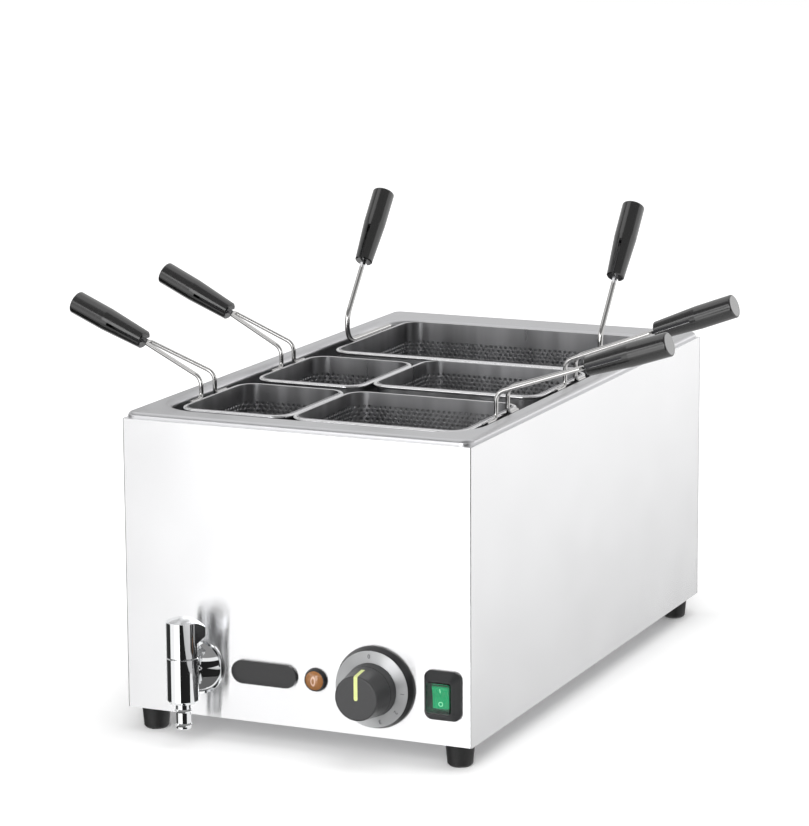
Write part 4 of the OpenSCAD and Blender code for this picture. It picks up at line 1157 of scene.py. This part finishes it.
@dataclass
class Studio:
    """White floor and world, cards for the reflections, and soft lamps.

    Args:
        floor_size: side of the floor in metres.
        sky: strength of the world as light on matt surfaces.
        floor_glow: glow of the floor beside the casing, kept low there as painted shade, and further out,
            where it reads as white.
        glow_reach: how far from the casing that is, in metres.
        floor_tone: grey of the floor.
        strip_near, strip_far: how far the two floor strips reach from the casing, in metres.
    """

    floor_size: float = 16.0
    sky: float = 0.5
    floor_glow: Pair = (0.1, 0.62)
    glow_reach: float = 0.25
    floor_tone: float = 0.95
    strip_near: float = 0.5
    strip_far: float = 4.0

    def world(self) -> None:
        """White to the eye and to reflections, softer as light on matt surfaces."""
        world = bpy.data.worlds.new("studio")
        bpy.context.scene.world = world
        world.use_nodes = True
        tree = NodeTree(world.node_tree)
        path = tree.add("LightPath").outputs
        seen = path["Is Camera Ray"]
        for ray in ("Is Glossy Ray", "Is Transmission Ray"):
            seen = tree.add("Math", {"operation": "MAXIMUM"}, {0: seen, 1: path[ray]})
        level = tree.add("MapRange", {"To Min": self.sky, "To Max": 1.0}, {"Value": seen})
        sky = tree.add("Background", {"Color": WHITE}, {"Strength": level})
        tree.add("OutputWorld", None, {"Surface": sky})

    def glow(self, tree: NodeTree) -> Source:
        """Glow of the floor: low beside the casing, which deepens its shadow there as painted shade, and
        white further out.

        Args:
            tree: the floor's nodes.

        Returns:
            The strength of the glow.
        """
        lo, hi = (Vector(p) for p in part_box("casing"))
        middle = (lo + hi) / 2
        half = ((hi.x - lo.x) / 2, (hi.y - lo.y) / 2, 1.0)
        place = tree.add("TexCoord").outputs["Object"]
        shift = {"Location": (-middle.x, -middle.y, 0.0)}
        away = tree.add("Mapping", shift, {"Vector": place})
        steps = (
            {"operation": "ABSOLUTE"},
            {"operation": "SUBTRACT", 1: half},
            {"operation": "MAXIMUM", 1: (0.0, 0.0, 0.0)},
        )
        for step in steps:
            away = tree.add("VectorMath", step, {0: away})
        far = tree.add("VectorMath", {"operation": "LENGTH"}, {0: away})
        # Painted shade: the glow rises from low at the casing to white at the reach
        near, white = self.floor_glow
        ramp = {"From Min": 0.0, "From Max": self.glow_reach, "To Min": near, "To Max": white}
        return tree.add("MapRange", ramp, {"Value": far.outputs["Value"]})

    def floor(self) -> bpy.types.Object:
        """Pale floor that takes the cooker's shadow.

        Returns:
            The new object.
        """
        half = self.floor_size / 2
        corners = [(-half, -half, 0), (half, -half, 0), (half, half, 0), (-half, half, 0)]
        mesh = bpy.data.meshes.new("floor")
        mesh.from_pydata(corners, [], [(0, 1, 2, 3)])
        mat, tree = blank("white_floor")
        path = tree.add("LightPath")
        matt = tree.add("BsdfDiffuse", {"Color": (self.floor_tone,) * 3 + (1.0,)})
        seen = {0: path.outputs["Is Camera Ray"], 1: self.glow(tree)}
        level = tree.add("Math", {"operation": "MULTIPLY"}, seen)
        glow = tree.add("Emission", None, {"Strength": level})
        both = tree.add("AddShader", None, {0: matt, 1: glow})
        tree.add("OutputMaterial", None, {"Surface": both})
        mesh.materials.append(mat)
        obj = stand("floor", mesh)
        obj.visible_glossy = False
        return obj

    def lamp(self, name: str, place: Point, aim: Point, size: float, power: float) -> None:
        """One soft square lamp.

        Args:
            name: its name.
            place: where it hangs, in metres.
            aim: the point it looks at.
            size: side of the square.
            power: watts.
        """
        data = bpy.data.lights.new(name, "AREA")
        data.shape = "SQUARE"
        data.size = size
        data.energy = power
        obj = stand(name, data)
        obj.location = place
        obj.rotation_euler = (Vector(aim) - Vector(place)).to_track_quat("-Z", "Y").to_euler()
        obj.visible_glossy = False

    def cards(self) -> List[Card]:
        """What the bright metal sees round it.

        Returns:
            Softboxes and sweep before the front, dark flags beside them, floor, ceiling and backdrop.
        """
        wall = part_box("casing")[1][0]
        near = wall + self.strip_near
        # Name, brightness at both ends, then left, right, low and high in degrees
        return [
            DomeCard("softbox_front", (2.4, 2.4), -27, -9, 2, 28),
            DomeCard("softbox_hot", (5.0, 5.0), -9, 9, -5, 28, radius=5.9),
            DomeCard("softbox_left", (2.3, 2.3), -60, -30, 19, 28),
            DomeCard("softbox_left_low", (0.7, 0.9), -60, -30, 2, 19),
            DomeCard("softbox_gap", (0.6, 0.6), -30, -27, 2, 28),
            DomeCard("sweep_left", (1.1, 1.1), -60, -28.5, -18, 2),
            DomeCard("sweep_middle", (1.35, 1.35), -28.5, -21, -18, 2),
            DomeCard("sweep_front", (1.8, 1.8), -21, 9, -22, 2),
            DomeCard("flag_front_right", (0.015, 0.02), 9, 78, -40, 16),
            DomeCard("flag_left", (0.05, 0.03), -112, -60, -40, 16),
            DomeCard("floor_left", (0.6, 0.6), -60, -21, -40, -18),
            DomeCard("floor_front", (0.8, 0.7), -21, 9, -40, -22),
            DomeCard("floor_below", (0.15, 0.15), -112, 78, -88, -40),
            DomeCard("ceiling_left", (0.28, 0.28), -112, -30, 28, 48),
            DomeCard("skylight_left", (1.1, 1.1), -112, -30, 48, 84),
            DomeCard("ceiling", (0.28, 0.3), -30, 112, 28, 84),
            DomeCard("backdrop", (0.82, 0.74), 168, 290, 1.5, 40),
            DomeCard("strip_right", (1.9, 1.9), 140, 168, 3, 14),
            # Darker by the wall: a painted shadow of the casing on the floor, as the side panel reflects it
            FloorCard("floor_right_near_painted_shadow", (0.6, 1.0), wall, near),
            FloorCard("floor_right_far", (1.0, 1.0), near, wall + self.strip_far),
        ]

    def build(self) -> None:
        """Sets up the studio."""
        self.world()
        self.floor()
        for card in self.cards():
            card.build()
        self.lamp("key", place=(0.6, -2.4, 1.25), aim=(0.0, -0.2, 0.1), size=1.6, power=42)
        self.lamp("top", place=(0.8, -0.1, 2.5), aim=(0.0, 0.0, 0.2), size=2.0, power=24)


@dataclass
class Eye:
    """Camera of the photograph: turn in degrees, place in metres from below the casing's front middle."""

    away: Point = (1.271, -2.595, 0.8821)
    azimuth: float = 24.148
    height: float = 11.269
    roll: float = -0.326
    focal_px: float = 3367.0
    frame_px: Tuple[int, int] = (809, 826)
    sensor_mm: float = 36.0
    clip_m: float = 50.0

    def build(self) -> bpy.types.Object:
        """Makes the camera and sets it as the scene's.

        Returns:
            The camera.
        """
        a, e, r = (radians(v) for v in (self.azimuth, self.height, self.roll))
        back = Vector((sin(a) * cos(e), -cos(a) * cos(e), sin(e)))
        right = (-back).cross(Vector((0, 0, 1))).normalized()
        up = right.cross(-back)
        x = right * cos(r) + up * sin(r)
        y = -right * sin(r) + up * cos(r)
        data = bpy.data.cameras.new("eye")
        data.sensor_fit = "AUTO"
        data.sensor_width = self.sensor_mm
        data.lens = self.focal_px * self.sensor_mm / max(self.frame_px)
        data.clip_end = self.clip_m
        cam = stand("eye", data)
        turn = Matrix((x, y, back)).transposed().to_4x4()
        lo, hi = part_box("casing")
        foot = Vector(((lo[0] + hi[0]) / 2, lo[1], 0.0))
        cam.matrix_world = Matrix.Translation(foot + Vector(self.away)) @ turn
        bpy.context.scene.camera = cam
        return cam


@dataclass
class Cooker:
    """The whole dressed object; first_rows gives the height of each basket's topmost holes in millimetres."""

    finishes: Finishes = field(default_factory=Finishes)
    first_rows: Dict[str, float] = field(default_factory=lambda: {
        "front_left": 276.5, "mid_left": 276.5, "front_right": 281.0, "mid_right": 281.0, "large": 273.5,
    })

    def baskets(self) -> List[PerforatedBasket]:
        """Sizes the baskets from the solids that they stand for.

        Returns:
            The five baskets.
        """
        made = []
        for name, first_row in self.first_rows.items():
            node = name + "_basket"
            lo, hi = (Vector(p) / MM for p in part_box(node))
            x = (lo.x + hi.x) / 2
            y = (lo.y + hi.y) / 2
            made.append(PerforatedBasket(
                node, name + "_set", x, y, hi.x - lo.x, hi.y - lo.y, first_row, top=hi.z, base=lo.z
            ))
        return made

    def build(self) -> None:
        """Builds every piece in order."""
        LOG.info("solids dressed: %d", Solids(self.finishes).build())
        for basket in self.baskets():
            obj = basket.build(self.finishes)
            LOG.info("%s: %d faces", obj.name, len(obj.data.polygons))
        LOG.info("printed marks: %d", Marks().build(self.finishes))


def main() -> None:
    """Builds the cooker, the studio and the camera."""
    logging.basicConfig(level=logging.INFO, format="%(name)s %(message)s")
    scene = bpy.context.scene
    scene.view_settings.view_transform = "Standard"
    Cooker().build()
    Studio().build()
    Eye().build()


if __name__ == "__main__":
    main()
